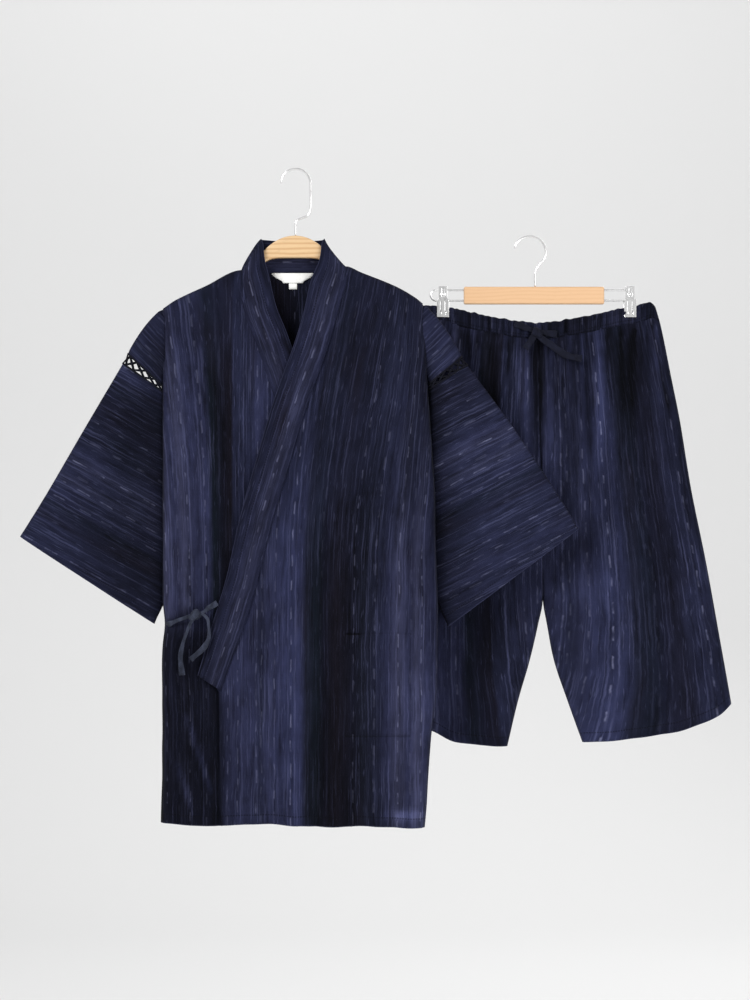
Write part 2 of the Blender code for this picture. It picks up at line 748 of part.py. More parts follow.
def oval_section(x, top, bottom, half):
    """Eight points round a section of the wooden hanger, its edges cut at 45 degrees."""
    cut = min(half, (top - bottom) / 2) * 0.55
    return [
        (x, -half, bottom + cut), (x, -half + cut, bottom), (x, half - cut, bottom), (x, half, bottom + cut),
        (x, half, top - cut), (x, half - cut, top), (x, -half + cut, top), (x, -half, top - cut),
    ]


def jacket_hanger():
    """The wooden hanger: a domed middle and two sloping arms."""
    sections = [
        oval_section(-row["x"], row["top"], row["bottom"], row["half"]) for row in HANGER[:0:-1]
    ]
    sections += [oval_section(row["x"], row["top"], row["bottom"], row["half"]) for row in HANGER]
    mesh = bmesh.new()
    grid = [[mesh.verts.new(p) for p in section] for section in sections]
    for lower, upper in zip(grid, grid[1:]):
        for i in range(8):
            j = (i + 1) % 8
            mesh.faces.new((lower[i], lower[j], upper[j], upper[i]))
    mesh.faces.new(grid[0])
    mesh.faces.new(grid[-1])
    bmesh.ops.recalc_face_normals(mesh, faces=mesh.faces)
    data = bpy.data.meshes.new("jacket_hanger")
    mesh.to_mesh(data)
    mesh.free()
    add_object("jacket_hanger", data, "wood")


def jacket_hook():
    """A wire hook whose inner top is the origin; its shank kinks back over the hanger's middle."""
    top = WIRE_RADIUS
    centre_z = top - HOOK_RADIUS
    bow = arc(0.001, centre_z, HOOK_RADIUS, 178, 0, 14)
    shank = smooth_path(
        [(0.0211, 0, centre_z), (0.0212, 0, -0.046), (0.0185, 0, -0.0600), (0.0090, 0, -0.0650),
         (0.0020, 0, -0.0690), (0.0008, 0, -0.0780), (0.0008, 0, HANGER[0]["top"] + SEAM_GAP)], 3
    )
    points = [(x, 0, z) for x, z in bow] + [tuple(p) for p in shank[1:]]
    wire("jacket_hanger_hook", points, WIRE_RADIUS, "steel")


def trouser_hook():
    """The clip hanger's wire hook, over the middle of its bar."""
    centre_x, top = 0.3205, -0.0840
    centre_z = top - CLIP_HOOK_RADIUS
    bow = arc(centre_x, centre_z, CLIP_HOOK_RADIUS, 165, -25, 14)
    shank = smooth_path(
        [(bow[-1][0], TROUSER_Y, bow[-1][1]), (0.3335, TROUSER_Y, -0.1225),
         (0.3280, TROUSER_Y, -0.1330), (0.3274, TROUSER_Y, BAR_Z[1] + SEAM_GAP)], 3
    )
    points = [(x, TROUSER_Y, z) for x, z in bow] + [tuple(p) for p in shank[1:]]
    wire("trouser_hanger_hook", points, WIRE_RADIUS, "steel")


def trouser_bar():
    """The wooden bar of the clip hanger, with softened edges."""
    mesh = bmesh.new()
    bmesh.ops.create_cube(mesh, size=1)
    size = (BAR_X[1] - BAR_X[0], 2 * BAR_HALF_DEPTH, BAR_Z[1] - BAR_Z[0])
    bmesh.ops.scale(mesh, vec=size, verts=mesh.verts)
    data = bpy.data.meshes.new("trouser_hanger_bar")
    mesh.to_mesh(data)
    mesh.free()
    bar = add_object("trouser_hanger_bar", data, "bar_wood")
    bar.location = (sum(BAR_X) / 2, TROUSER_Y, sum(BAR_Z) / 2)
    bevel = bar.modifiers.new("Edges", "BEVEL")
    bevel.width = 0.002
    bevel.segments = 2


def clip(side):
    """A clip: two jaws that reach down over the waist, joined above it."""
    x = CLIPS[side]
    grip = read(WAIST, "across", 0.1, "half") + 2 * SEAM_GAP
    outer = grip + CLIP_WALL
    outline = [
        (-outer, CLIP_FOOT), (-grip, CLIP_FOOT), (-grip, CLIP_BRIDGE), (grip, CLIP_BRIDGE),
        (grip, CLIP_FOOT), (outer, CLIP_FOOT), (outer, CLIP_TOP), (-outer, CLIP_TOP),
    ]
    mesh = bmesh.new()
    face = mesh.faces.new([
        mesh.verts.new((x - CLIP_WIDTH / 2, TROUSER_Y + y, z)) for y, z in outline
    ])
    grown = bmesh.ops.extrude_face_region(mesh, geom=[face])
    moved = [v for v in grown["geom"] if isinstance(v, bmesh.types.BMVert)]
    bmesh.ops.translate(mesh, vec=(CLIP_WIDTH, 0, 0), verts=moved)
    bmesh.ops.recalc_face_normals(mesh, faces=mesh.faces)
    data = bpy.data.meshes.new(f"trouser_clip_{side}")
    mesh.to_mesh(data)
    mesh.free()
    add_object(f"trouser_clip_{side}", data, "steel")


def clip_rods(side):
    """The two thin rods between the bar and a clip."""
    bar_end, clip_x = (BAR_X[0], CLIPS[side]) if side == "right" else (BAR_X[1], CLIPS[side])
    way = 1 if clip_x > bar_end else -1
    start = bar_end + way * SEAM_GAP
    end = clip_x - way * (CLIP_WIDTH / 2 + SEAM_GAP)
    for level, z in ROD_HEIGHTS.items():
        points = [(start, TROUSER_Y, z), (end, TROUSER_Y, z)]
        wire(f"trouser_rod_{level}_{side}", points, ROD_RADIUS, "steel", resolution=2)


def rod_loop():
    """The bent end of the rods, which shows past the clip on the wearer's right."""
    edge = CLIPS["right"] - CLIP_WIDTH / 2 - SEAM_GAP
    upper, lower = ROD_HEIGHTS["upper"], ROD_HEIGHTS["lower"]
    radius = (upper - lower) / 2
    bend = arc(edge - 0.001, (upper + lower) / 2, radius, 90, 270, 8)
    points = [(edge, TROUSER_Y, upper), *((x, TROUSER_Y, z) for x, z in bend), (edge, TROUSER_Y, lower)]
    wire("trouser_rod_loop", points, ROD_RADIUS, "steel", resolution=2)


def main():
    for old in list(bpy.data.objects):
        bpy.data.objects.remove(old)
    jacket_back()
    jacket_fronts()
    jacket_collar()
    jacket_sleeves()
    jacket_pocket()
    jacket_ties()
    neck_label()
    trousers()
    jacket_hanger()
    jacket_hook()
    trouser_hook()
    trouser_bar()
    rod_loop()
    for side in CLIPS:
        clip(side)
        clip_rods(side)


main()
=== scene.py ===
"""The looks of a jinbei set on its two hangers: striped cotton cloth, openwork sleeve joins, wood and wire.

Metres, +Z up, the front faces -Y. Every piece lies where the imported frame's node for it lies.
"""

# %% [markdown]
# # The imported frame
# The set is already solved as a frame of plain solids: where each panel, sleeve and hanger lies.
# This script dresses that frame. The frame comes in first, and its box is kept, so that at the end
# the finished pieces can be compared with it.

# %% Load the frame
import math

import bmesh
import bpy
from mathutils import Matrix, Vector, noise


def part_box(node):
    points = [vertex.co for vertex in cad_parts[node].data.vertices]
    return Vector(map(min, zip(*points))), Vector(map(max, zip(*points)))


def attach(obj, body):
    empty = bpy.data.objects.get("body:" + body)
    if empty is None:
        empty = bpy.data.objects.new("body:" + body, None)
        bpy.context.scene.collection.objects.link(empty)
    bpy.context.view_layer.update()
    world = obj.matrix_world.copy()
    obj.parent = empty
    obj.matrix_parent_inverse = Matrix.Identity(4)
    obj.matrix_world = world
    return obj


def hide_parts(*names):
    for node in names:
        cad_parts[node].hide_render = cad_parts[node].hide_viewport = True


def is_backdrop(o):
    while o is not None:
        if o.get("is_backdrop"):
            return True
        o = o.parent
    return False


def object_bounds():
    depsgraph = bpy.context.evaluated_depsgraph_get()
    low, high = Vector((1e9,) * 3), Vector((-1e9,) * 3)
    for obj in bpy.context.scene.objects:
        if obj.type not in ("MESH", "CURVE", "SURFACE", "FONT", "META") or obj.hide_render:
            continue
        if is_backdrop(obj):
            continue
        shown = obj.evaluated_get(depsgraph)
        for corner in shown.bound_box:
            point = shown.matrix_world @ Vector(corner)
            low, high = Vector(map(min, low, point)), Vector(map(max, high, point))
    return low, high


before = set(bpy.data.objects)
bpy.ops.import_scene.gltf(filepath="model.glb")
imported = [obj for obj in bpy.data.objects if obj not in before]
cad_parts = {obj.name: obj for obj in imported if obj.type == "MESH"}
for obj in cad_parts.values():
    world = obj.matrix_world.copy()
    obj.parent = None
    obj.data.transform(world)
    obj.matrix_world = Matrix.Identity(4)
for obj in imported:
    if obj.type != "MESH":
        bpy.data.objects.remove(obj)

cad_box = [list(corner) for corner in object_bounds()]
print(len(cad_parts), "nodes, box", [[round(n, 3) for n in corner] for corner in cad_box])

# %% [markdown]
# # Camera
# A set like this is shown straight from the front, from a few metres away, so that the sleeves and
# hems keep their true shapes. An 85 mm lens at 3.2 m does that. The camera looks along +Y at the
# middle between the two hangers.

# %% Camera
VIEW_CENTRE = (0.108, -0.4455)
CAMERA_AWAY = 3.1875

camera = bpy.data.objects.new("camera", bpy.data.cameras.new("camera"))
bpy.context.scene.collection.objects.link(camera)
camera.location = (VIEW_CENTRE[0], -CAMERA_AWAY, VIEW_CENTRE[1])
camera.rotation_euler = (math.radians(90), 0, 0)
camera.data.lens = 85
camera.data.sensor_width = 36
camera.data.clip_end = 30
bpy.context.scene.camera = camera
print("camera at", tuple(camera.location))

# %% [markdown]
# Reading listed sizes
# A garment is a set of smooth outlines. Each outline is a short table of given points, and `read`
# gives any place between them on a smooth curve, with slopes taken from the neighbouring points.

# %% Numbers between numbers
def mix(a, b, share):
    return a + (b - a) * share


def ease(value):
    """0 to 1, smoothly, as the value goes from 0 to 1."""
    value = min(max(value, 0.0), 1.0)
    return value * value * (3 - 2 * value)


def rounding(distance, radius):
    """0 on an edge and 1 from radius inside it, along a quarter circle."""
    return math.sqrt(max(0.0, 1 - (1 - min(max(distance / radius, 0.0), 1.0)) ** 2))


def slope(rows, i, column):
    """The table's slope at a row, from the rows beside it; flat where it turns round."""
    low, high = max(i - 1, 0), min(i + 1, len(rows) - 1)
    before = (rows[i][column] - rows[low][column]) * (rows[high][column] - rows[i][column])
    if 0 < i < len(rows) - 1 and before <= 0:
        return 0.0
    return (rows[high][column] - rows[low][column]) / (rows[high][0] - rows[low][0])


def read(rows, at, column=1):
    """The column's value where the first column is at, on a smooth curve through the rows."""
    rows = rows if rows[0][0] < rows[-1][0] else rows[::-1]
    at = min(max(at, rows[0][0]), rows[-1][0])
    i = next(k for k in range(len(rows) - 1) if at <= rows[k + 1][0])
    span = rows[i + 1][0] - rows[i][0]
    t = (at - rows[i][0]) / span
    start, end = rows[i][column], rows[i + 1][column]
    rise = slope(rows, i, column) * span, slope(rows, i + 1, column) * span
    return (
        start * (1 + 2 * t) * (1 - t) ** 2 + end * t * t * (3 - 2 * t)
        + rise[0] * t * (1 - t) ** 2 - rise[1] * t * t * (1 - t)
    )


def smooth_path(points, steps):
    """A curve through the points, with that many steps between each two."""
    points = [Vector(p) for p in points]
    ends = [2 * points[0] - points[1], *points, 2 * points[-1] - points[-2]]
    path = []
    for a, b, c, d in zip(ends, ends[1:], ends[2:], ends[3:]):
        for i in range(steps):
            t = i / steps
            path.append(
                0.5 * (2 * b + (c - a) * t + (2 * a - 5 * b + 4 * c - d) * t ** 2
                       + (3 * b - a - 3 * c + d) * t ** 3)
            )
    return [*path, points[-1]]


def length_of(path):
    return sum((b - a).length for a, b in zip(path, path[1:]))


print("a third of the way in, an edge has risen to", round(rounding(1, 3), 2), "of its height")

# %% [markdown]
# # A small language for materials
# A material is a graph of nodes. Written node by node it hides its own sense, so `Dye` wraps a
# socket and lets sums be written as sums: `line * 0.5 + slub`. One method makes every node.

# %% Material helper
class Finish:
    """One material and the nodes in it."""

    def __init__(self, name, **constants):
        self.material = bpy.data.materials.new(name)
        self.material.use_nodes = True
        self.nodes = self.material.node_tree.nodes
        self.links = self.material.node_tree.links
        self.shader = self.nodes["Principled BSDF"]
        for socket, value in constants.items():
            self.shader.inputs[socket.replace("_", " ")].default_value = value

    def node(self, kind, inputs=(), **settings):
        """A node with its settings made first and then its inputs, by name or number."""
        made = self.nodes.new(kind)
        for key, value in settings.items():
            setattr(made, key, value)
        for key, value in dict(inputs).items():
            self.join(value, made.inputs[key])
        return made

    def join(self, value, socket):
        if isinstance(value, Dye):
            self.links.new(value.socket, socket)
        else:
            socket.default_value = value

    def to(self, socket, value):
        self.join(value, self.shader.inputs[socket])

    def dye(self, node, output=0):
        return Dye(self, node.outputs[output])

    def uv(self, layer):
        """The two numbers of a UV map, as two dyes."""
        made = self.node("ShaderNodeUVMap", uv_map=layer)
        split = self.node("ShaderNodeSeparateXYZ", {0: self.dye(made)})
        return self.dye(split, 0), self.dye(split, 1)

    def place(self):
        """Object coordinates, as three dyes."""
        made = self.node("ShaderNodeTexCoord")
        split = self.node("ShaderNodeSeparateXYZ", {0: self.dye(made, "Object")})
        return [self.dye(split, i) for i in range(3)]

    def vector(self, x, y, z=0.0):
        return self.dye(self.node("ShaderNodeCombineXYZ", {0: x, 1: y, 2: z}))

    def grain(self, x, y, z=0.0, detail=2.0, rough=0.5):
        """Noise from 0 to 1 whose spots are one unit across."""
        inputs = {"Vector": self.vector(x, y, z), "Scale": 1.0, "Detail": detail, "Roughness": rough}
        return self.dye(self.node("ShaderNodeTexNoise", inputs))

    def chart(self, value, stops, interpolation="LINEAR"):
        """Colours laid along a ramp: stops are (place from 0 to 1, colour or grey)."""
        made = self.node("ShaderNodeValToRGB", {0: value})
        ramp = made.color_ramp
        ramp.interpolation = interpolation
        for i, (where, colour) in enumerate(stops):
            stop = ramp.elements[i] if i < 2 else ramp.elements.new(where)
            stop.position = where
            stop.color = colour if hasattr(colour, "__len__") else (colour, colour, colour, 1)
        return self.dye(made)

    def blend(self, share, a, b, how="MIX"):
        made = self.node("ShaderNodeMix", {0: share, 6: a, 7: b}, data_type="RGBA", blend_type=how)
        return self.dye(made, 2)

    def bump(self, height, distance, strength=1.0):
        inputs = {"Height": height, "Distance": distance, "Strength": strength}
        self.to("Normal", self.dye(self.node("ShaderNodeBump", inputs)))


class Dye:
    """A socket that can be added, multiplied and shaped."""

    def __init__(self, finish, socket):
        self.finish, self.socket = finish, socket

    def math(self, how, *others):
        inputs = {0: self, **{i + 1: other for i, other in enumerate(others)}}
        return self.finish.dye(self.finish.node("ShaderNodeMath", inputs, operation=how))

    def __add__(self, other):
        return self.math("ADD", other)

    def __sub__(self, other):
        return self.math("SUBTRACT", other)

    def __rsub__(self, other):
        return (self * -1.0).math("ADD", other)

    def __mul__(self, other):
        return self.math("MULTIPLY", other)

    def __truediv__(self, other):
        return self.math("DIVIDE", other)

    __radd__, __rmul__ = __add__, __mul__

    def fract(self):
        return self.math("FRACT")

    def size(self):
        return self.math("ABSOLUTE")

    def wave(self):
        """-1 to 1 and back, once a unit."""
        return (self * math.tau).math("SINE")

    def spread(self, low, high, to_low=0.0, to_high=1.0):
        """Maps low..high to to_low..to_high, smoothly and no further."""
        names = ("Value", "From Min", "From Max", "To Min", "To Max")
        inputs = dict(zip(names, (self, low, high, to_low, to_high)))
        made = self.finish.node("ShaderNodeMapRange", inputs, interpolation_type="SMOOTHSTEP")
        return self.finish.dye(made)


def shade(red, green, blue):
    """A colour from its usual 0 to 255 numbers, made linear."""
    def linear(value):
        value /= 255
        return value / 12.92 if value <= 0.04045 else ((value + 0.055) / 1.055) ** 2.4
    return (linear(red), linear(green), linear(blue), 1.0)


print("a screen grey of 128 is", round(shade(128, 128, 128)[0], 3), "in linear light")

# %% [markdown]
# # The striped cloth
# The real cloth is a crinkled cotton, woven from indigo, near-black and lavender-grey yarns. Three
# things lie over each other: broad soft bands where the warp changes its dye, thin light warp
# threads at uneven distances, and columns of short floats that read as dashes. All of it follows
# the cloth, so it is drawn on a UV map that holds real metres: u across the warp, v along it.
# The repeat is charted as three colour ramps, which costs far fewer nodes than a line each.

# %% Stripe chart
REPEAT_MM = 349
REPEAT = REPEAT_MM / 1000
DARK = shade(15, 16, 29)
RUST_DARK = shade(19, 17, 27)
TEAL_DARK = shade(14, 20, 30)
DUSK = shade(25, 28, 43)
SLATE = shade(33, 36, 58)
MIDDLE = shade(43, 46, 73)
BRIGHT = shade(48, 52, 83)
LIGHT = shade(56, 58, 84)
LAVENDER = shade(90, 94, 130)
PALE_YARN = shade(116, 119, 150)

# Where each band starts, in millimetres across one repeat
BANDS = (
    (0, SLATE), (22, SLATE), (30, MIDDLE), (66, MIDDLE), (76, SLATE), (86, MIDDLE), (108, BRIGHT),
    (128, BRIGHT), (136, DUSK), (150, TEAL_DARK), (160, DARK), (176, RUST_DARK), (198, DARK),
    (212, DUSK), (234, SLATE), (246, MIDDLE), (258, LIGHT), (274, MIDDLE), (284, LIGHT), (298, MIDDLE),
    (316, MIDDLE), (323, TEAL_DARK), (334, DARK), (345, RUST_DARK), (348, SLATE),
)
# How plainly the light yarns show: they are fewer in the dark bands
CALM = (
    (0, 1.0), (128, 1.0), (140, 0.3), (196, 0.35), (208, 1.0), (316, 1.0), (326, 0.35), (343, 0.35),
    (REPEAT_MM, 1.0),
)
# Thin light warp threads: millimetres across the repeat, and how light
THREADS = (
    (12, 0.9), (32, 0.5), (50, 0.6), (70, 0.8), (81, 0.5), (88, 0.8), (92, 0.6), (112, 0.7), (121.5, 0.9),
    (139, 0.3), (150, 0.35), (165, 0.3), (182, 0.25), (196, 0.4), (218, 0.4), (231, 0.7), (247, 0.6),
    (256, 0.9), (267, 0.7), (283, 1.0), (293, 0.7), (308, 0.6), (330, 0.3),
)
# Columns of floats: millimetres across the repeat, how light, and where along they start
FLOATS = (
    (31, 0.8, 0.1), (45, 0.4, 0.7), (70, 0.9, 0.55), (76, 0.4, 0.15), (94, 0.5, 0.2), (116, 1.0, 0.3),
    (155, 0.3, 0.8), (199, 0.6, 0.15), (227, 0.9, 0.65), (259, 0.9, 0.4), (276, 0.4, 0.85), (290, 1.0, 0.05),
    (312, 0.5, 0.25),
)
THREAD_HALF, FLOAT_HALF = 0.85, 0.95  # half widths, in millimetres
FLOAT_STEP = 0.0355  # from one float to the next, along the warp
SEWN_IN, STITCH = 0.0125, 0.0036  # the row of stitches: how far in from an edge, and one stitch's length


def peaks(marks, half):
    """Ramp stops for narrow peaks: marks are (millimetres, height)."""
    stops = [(0.0, 0.0)]
    for place, height in marks:
        for at, value in ((place - half, 0.0), (place, height), (place + half, 0.0)):
            stops.append((at / REPEAT_MM, value))
    return stops


def zones(marks):
    """Ramp stops that hold each column's starting place, halfway out to its neighbours."""
    stops = [(0.0, marks[0][2])]
    for before, here in zip(marks, marks[1:]):
        stops.append(((before[0] + here[0]) / 2 / REPEAT_MM, here[2]))
    return stops


print(len(BANDS), "bands,", len(THREADS), "threads,", len(FLOATS), "columns of floats")

# %% [markdown]
# The chart alone would look printed. In real cloth the threads wander, light yarns fade in and out,
# and single yarns run thick and thin, so each layer of the pattern is broken up by its own noise.
# A third UV map carries how light the cloth is painted at each place: its dye together with painted
# shade and painted highlights of folds and creases. This lets a fold lie in painted shade and one
# front be quieter than the other with a single material. Rows of stitches follow the sewn edges.

# %% Striped cloth
def striped_cloth(name, light=1.0):
    """The striped cotton. Its UV maps are warp (metres), edge (metres to a sewn edge, and along it)
    and shade (how light the dye is there, with painted shade and painted highlights in it, and how
    strongly the broad bands show)."""
    cloth = Finish(name, Roughness=0.9, Sheen_Weight=0.01, Sheen_Roughness=0.5, Specular_IOR_Level=0.06)
    u, v = cloth.uv("warp")
    away, along = cloth.uv("edge")
    # the shade map's first number is the dye's lightness, with painted shade and highlights in it
    dye, contrast = cloth.uv("shade")
    # Woven by machine but washed and hung: the threads wander a little
    wander = cloth.grain(u * 9.0, v * 24.0, 3.0) - 0.5
    jitter = cloth.grain(u * 30.0, v * 130.0, 8.0) - 0.5
    across = u + wander * 0.0034 + jitter * 0.0014
    place = (across / REPEAT).fract()
    calm = cloth.chart(place, [(mm / REPEAT_MM, value) for mm, value in CALM])
    calm = 1 - (1 - calm) * contrast
    bands = cloth.chart(place, [(mm / REPEAT_MM, colour) for mm, colour in BANDS])
    bands = cloth.blend(contrast, SLATE, bands)
    # A ramp holds at most 32 stops, so the threads take three and the floats two
    threads = cloth.chart(place, peaks(THREADS[:10], THREAD_HALF))
    threads = threads + cloth.chart(place, peaks(THREADS[10:20], THREAD_HALF))
    threads = threads + cloth.chart(place, peaks(THREADS[20:], THREAD_HALF))
    fade = cloth.grain(u * 70.0, v * 16.0, 9.0, 3.0).spread(0.36, 0.68)
    threads = threads * (fade * 0.8 + 0.2)

    marks = [(mm, height) for mm, height, _ in FLOATS]
    columns = cloth.chart(place, peaks(marks[:7], FLOAT_HALF))
    columns = columns + cloth.chart(place, peaks(marks[7:], FLOAT_HALF))
    start = cloth.chart(place, zones(FLOATS), "CONSTANT")
    uneven = cloth.grain(u * 25.0, v * 14.0, 5.0) - 0.5
    step = (v / FLOAT_STEP + start + uneven * 1.1).fract()
    reach = cloth.grain(u * 55.0, v * 26.0, 17.0) * 0.34 + 0.06
    dash = ((reach - (step - 0.5).size()) / 0.07 + 0.5).spread(0.0, 1.0)
    worn_float = cloth.grain(u * 60.0, v * 60.0, 12.0, 2.0).spread(0.34, 0.62, 0.1, 1.0)
    floats = columns * dash * worn_float

    # Streaks of thicker yarn, and slow drifts of the dye
    streak = cloth.grain(across * 420.0, v * 9.0, 1.0, 2.0).spread(0.54, 0.72)
    slub = cloth.grain(across * 520.0, v * 46.0, 2.0, 1.0).spread(0.61, 0.80)
    gloom = cloth.grain(across * 260.0, v * 12.0, 14.0, 2.0).spread(0.48, 0.70)
    drift = cloth.grain(u * 22.0, v * 5.0, 7.0, 3.0)
    weft = cloth.grain(u * 45.0, v * 1100.0, 4.0, 2.0)
    mottle = cloth.grain(u * 120.0, v * 34.0, 19.0, 3.0).spread(0.3, 0.7, -0.16, 0.16)
    tone_and_shade = (drift.spread(0.28, 0.75, 0.76, 1.2) + mottle - gloom * 0.34 + (weft - 0.5) * 0.3) * dye * light
    ground = cloth.blend(1.0, bands, cloth.vector(tone_and_shade, tone_and_shade, tone_and_shade), "MULTIPLY")
    rust = cloth.grain(u * 42.0, v * 6.0, 11.0, 2.0).spread(0.56, 0.8, 0.0, 0.45)
    ground = cloth.blend(rust, ground, RUST_DARK)
    shown = calm * (dye * 0.9 + 0.1)
    pale = (threads * 0.44 + streak * 0.18 + slub * 0.20).math("MINIMUM", 0.7) * shown
    ground = cloth.blend(pale, ground, LAVENDER)
    ground = cloth.blend((floats * 0.50 * shown).math("MINIMUM", 0.8), ground, PALE_YARN)
    # A row of stitches along each sewn edge, and the fold worn a little paler
    run = (along / STITCH).fract()
    stitch = (away - SEWN_IN).size().spread(0.0004, 0.0011, 1.0, 0.0)
    stitch = stitch * (run - 0.5).size().spread(0.28, 0.36, 1.0, 0.0)
    ground = cloth.blend(stitch * 0.5, ground, shade(10, 11, 18))
    ground = cloth.blend(away.spread(0.0002, 0.0022, 1.0, 0.0) * 0.16, ground, LAVENDER)
    cloth.to("Base Color", ground)
    cloth.to("Roughness", weft.spread(0.2, 0.8, 0.84, 0.96))

    rib = (u / 0.0021 + wander * 0.6).wave() * 0.5
    crinkle = cloth.grain(u * 170.0, v * 90.0, 6.0, 2.0)
    height = rib * 0.2 + weft * 0.4 + crinkle * 1.3 + pale * 1.2 + floats * 0.8 - stitch * 1.2
    cloth.bump(height, 0.0007, 0.6)
    return cloth.material


STRIPED = striped_cloth("striped indigo cotton", 0.62)
print("made", STRIPED.name)

# %% [markdown]
# # The plainer finishes
# The ties are narrow folded strips of the same yarns with the light ones outside. The openwork is
# near-black cord. The neck label is bare white taffeta. The hangers are pale pine, a warmer pine bar
# and bright chromed wire.

# %% Ties, cord and label
def plain_weave(name, colour, other, scale=0.0011, rough=0.85, bump=0.5):
    """A plain weave of two yarns, on Object coordinates."""
    cloth = Finish(name, Roughness=rough, Sheen_Weight=0.02, Specular_IOR_Level=0.1)
    x, y, z = cloth.place()
    warp = ((x + z * 0.35) / scale).wave()
    weft = ((z - x * 0.35) / scale).wave()
    weave = (warp * weft * 0.5 + 0.5)
    spots = cloth.grain(x * 130.0, y * 130.0, z * 70.0, 3.0)
    share = (weave * 0.45 + spots.spread(0.3, 0.75) * 0.55)
    cloth.to("Base Color", cloth.blend(share, colour, other))
    cloth.to("Roughness", spots.spread(0.2, 0.8, rough - 0.06, min(rough + 0.08, 1.0)))
    cloth.bump(weave + spots * 1.5, 0.0005, bump)
    return cloth.material


TIE_CLOTH = plain_weave("tie cloth", shade(15, 18, 26), shade(62, 67, 84))
STRING_CLOTH = plain_weave("drawstring cloth", shade(11, 12, 21), shade(28, 30, 46))
OPENWORK = plain_weave("openwork cord", shade(7, 8, 15), shade(20, 21, 33))
LABEL_WHITE = plain_weave("label taffeta", shade(226, 226, 224), shade(246, 246, 244), 0.0008, 0.6, 0.2)
print("made", TIE_CLOTH.name, STRING_CLOTH.name, OPENWORK.name, LABEL_WHITE.name)

# %% [markdown]
# The jacket's hanger shows its growth rings and the bar hardly does, so one recipe for pine takes
# the strength of its figure. The wire is round and bright. The clips are pressed from plated sheet
# and look duller between their bright spots.

# %% Wood and wire
def pine(name, pale, ring, rings_apart, figure):
    """Planed pine under a thin lacquer: long fibres along X, growth rings and fine pores."""
    wood = Finish(name, Roughness=0.42, Coat_Weight=0.25, Coat_Roughness=0.25)
    x, y, z = wood.place()
    bend = wood.grain(x * 9.0, y * 30.0, z * 30.0, 2.0) - 0.5
    rings = ((z + y * 0.6 + bend * 0.012) / rings_apart).wave() * 0.5 + 0.5
    fibre = wood.grain(x * 40.0, y * 900.0, z * 900.0, 3.0)
    pore = wood.grain(x * 150.0, y * 1600.0, z * 1600.0, 1.0).spread(0.62, 0.8)
    colour = wood.blend((rings.spread(0.35, 1.0) * 0.55 + fibre * 0.3) * figure, pale, ring)
    colour = wood.blend(pore * 0.3 * figure, colour, shade(120, 78, 44))
    wood.to("Base Color", colour)
    wood.to("Roughness", fibre.spread(0.2, 0.8, 0.34, 0.55))
    wood.bump(fibre * 0.5 - pore, 0.0003, 0.35)
    return wood.material


def chrome(name, metallic, bright, dull):
    """Bright plating over drawn wire or pressed sheet, with faint rubbing along it."""
    metal = Finish(name, Metallic=metallic, Roughness=0.2)
    x, y, z = metal.place()
    rub = metal.grain(x * 260.0, y * 260.0, z * 90.0, 3.0)
    metal.to("Roughness", rub.spread(0.3, 0.8, 0.10, 0.26))
    shine, worn = (bright, bright, bright, 1), (dull, dull, dull, 1)
    metal.to("Base Color", metal.blend(rub.spread(0.4, 0.9), shine, worn))
    metal.bump(rub, 0.0001, 0.15)
    return metal.material


PALE_PINE = pine("pale pine", shade(212, 181, 139), shade(182, 140, 93), 0.0062, 1.0)
WARM_PINE = pine("warm pine", shade(211, 172, 132), shade(187, 137, 92), 0.0050, 0.30)
CHROME = chrome("chromed wire", 0.75, 0.82, 0.60)
PLATE = chrome("plated clip sheet", 0.70, 0.76, 0.42)
print("made", PALE_PINE.name, WARM_PINE.name, CHROME.name, PLATE.name)

# %% [markdown]
# # Creases
# Creases are soft ridges and troughs along short lines, listed one by one: each is (x, z, to x, to z,
# width, rise), in metres, where rise is towards the viewer of that side. A simulation would put them
# anywhere; listed, they lie where hanging and tying pull the cloth. A slow sway is added, since no
# cloth hangs quite flat.

# %% Creases and sway
CLOTH = 0.0012


def creased(x, z, creases):
    """How far the cloth stands out at a place."""
    total = 0.0
    for x0, z0, x1, z1, width, rise in creases:
        along_x, along_z = x1 - x0, z1 - z0
        share = ((x - x0) * along_x + (z - z0) * along_z) / (along_x ** 2 + along_z ** 2)
        share = min(max(share, 0.0), 1.0)
        gap = ((x - x0 - along_x * share) ** 2 + (z - z0 - along_z * share) ** 2) / width ** 2
        if gap < 9:
            total += rise * math.exp(-gap) * (0.35 + 0.65 * math.sin(math.pi * share))
    return total


def sway(x, z, seed, wide=0.05, tall=0.22, size=0.0012):
    return noise.noise(Vector((x / wide, z / tall, seed))) * size


print("cloth", CLOTH * 1000, "mm thick")

# %% [markdown]
# # Cloth as thin shells
# A hung panel is a grid of places on its outer side. Solidify gives the grid its thickness inwards,
# which leaves the outline as it was laid out. The UV map keeps real metres, so that the stripes
# have one size on every panel.

# %% Laying out cloth
def select_none():
    bpy.ops.object.select_all(action="DESELECT")


def apply_modifiers(obj):
    select_none()
    obj.select_set(True)
    bpy.context.view_layer.objects.active = obj
    for modifier in list(obj.modifiers):
        bpy.ops.object.modifier_apply(modifier=modifier.name)


def object_from(mesh, name, material):
    """An object in the scene from a finished bmesh."""
    data = bpy.data.meshes.new(name)
    mesh.to_mesh(data)
    mesh.free()
    data.materials.append(material)
    obj = bpy.data.objects.new(name, data)
    bpy.context.scene.collection.objects.link(obj)
    return obj


class Layout:
    """Cloth laid out in lines of places on its outer side. Each place has its numbers for the three
    UV maps: the warp, the edge and the dye with its painted shade."""

    def __init__(self):
        self.lines = []

    def line(self):
        self.lines.append([])

    def put(self, place, warp, edge=(1.0, 1.0), dye=(1.0, 1.0)):
        self.lines[-1].append((Vector(place), warp, edge, dye))

    def places(self, ring):
        return [[stitch[0] for stitch in (line[:-1] if ring else line)] for line in self.lines]


# %% Giving it thickness
def area_of(grid):
    total = 0.0
    for upper, lower in zip(grid, grid[1:]):
        for a, b, c, d in zip(upper, upper[1:], lower, lower[1:]):
            total += (b - c).cross(a - d).length / 2
    return total


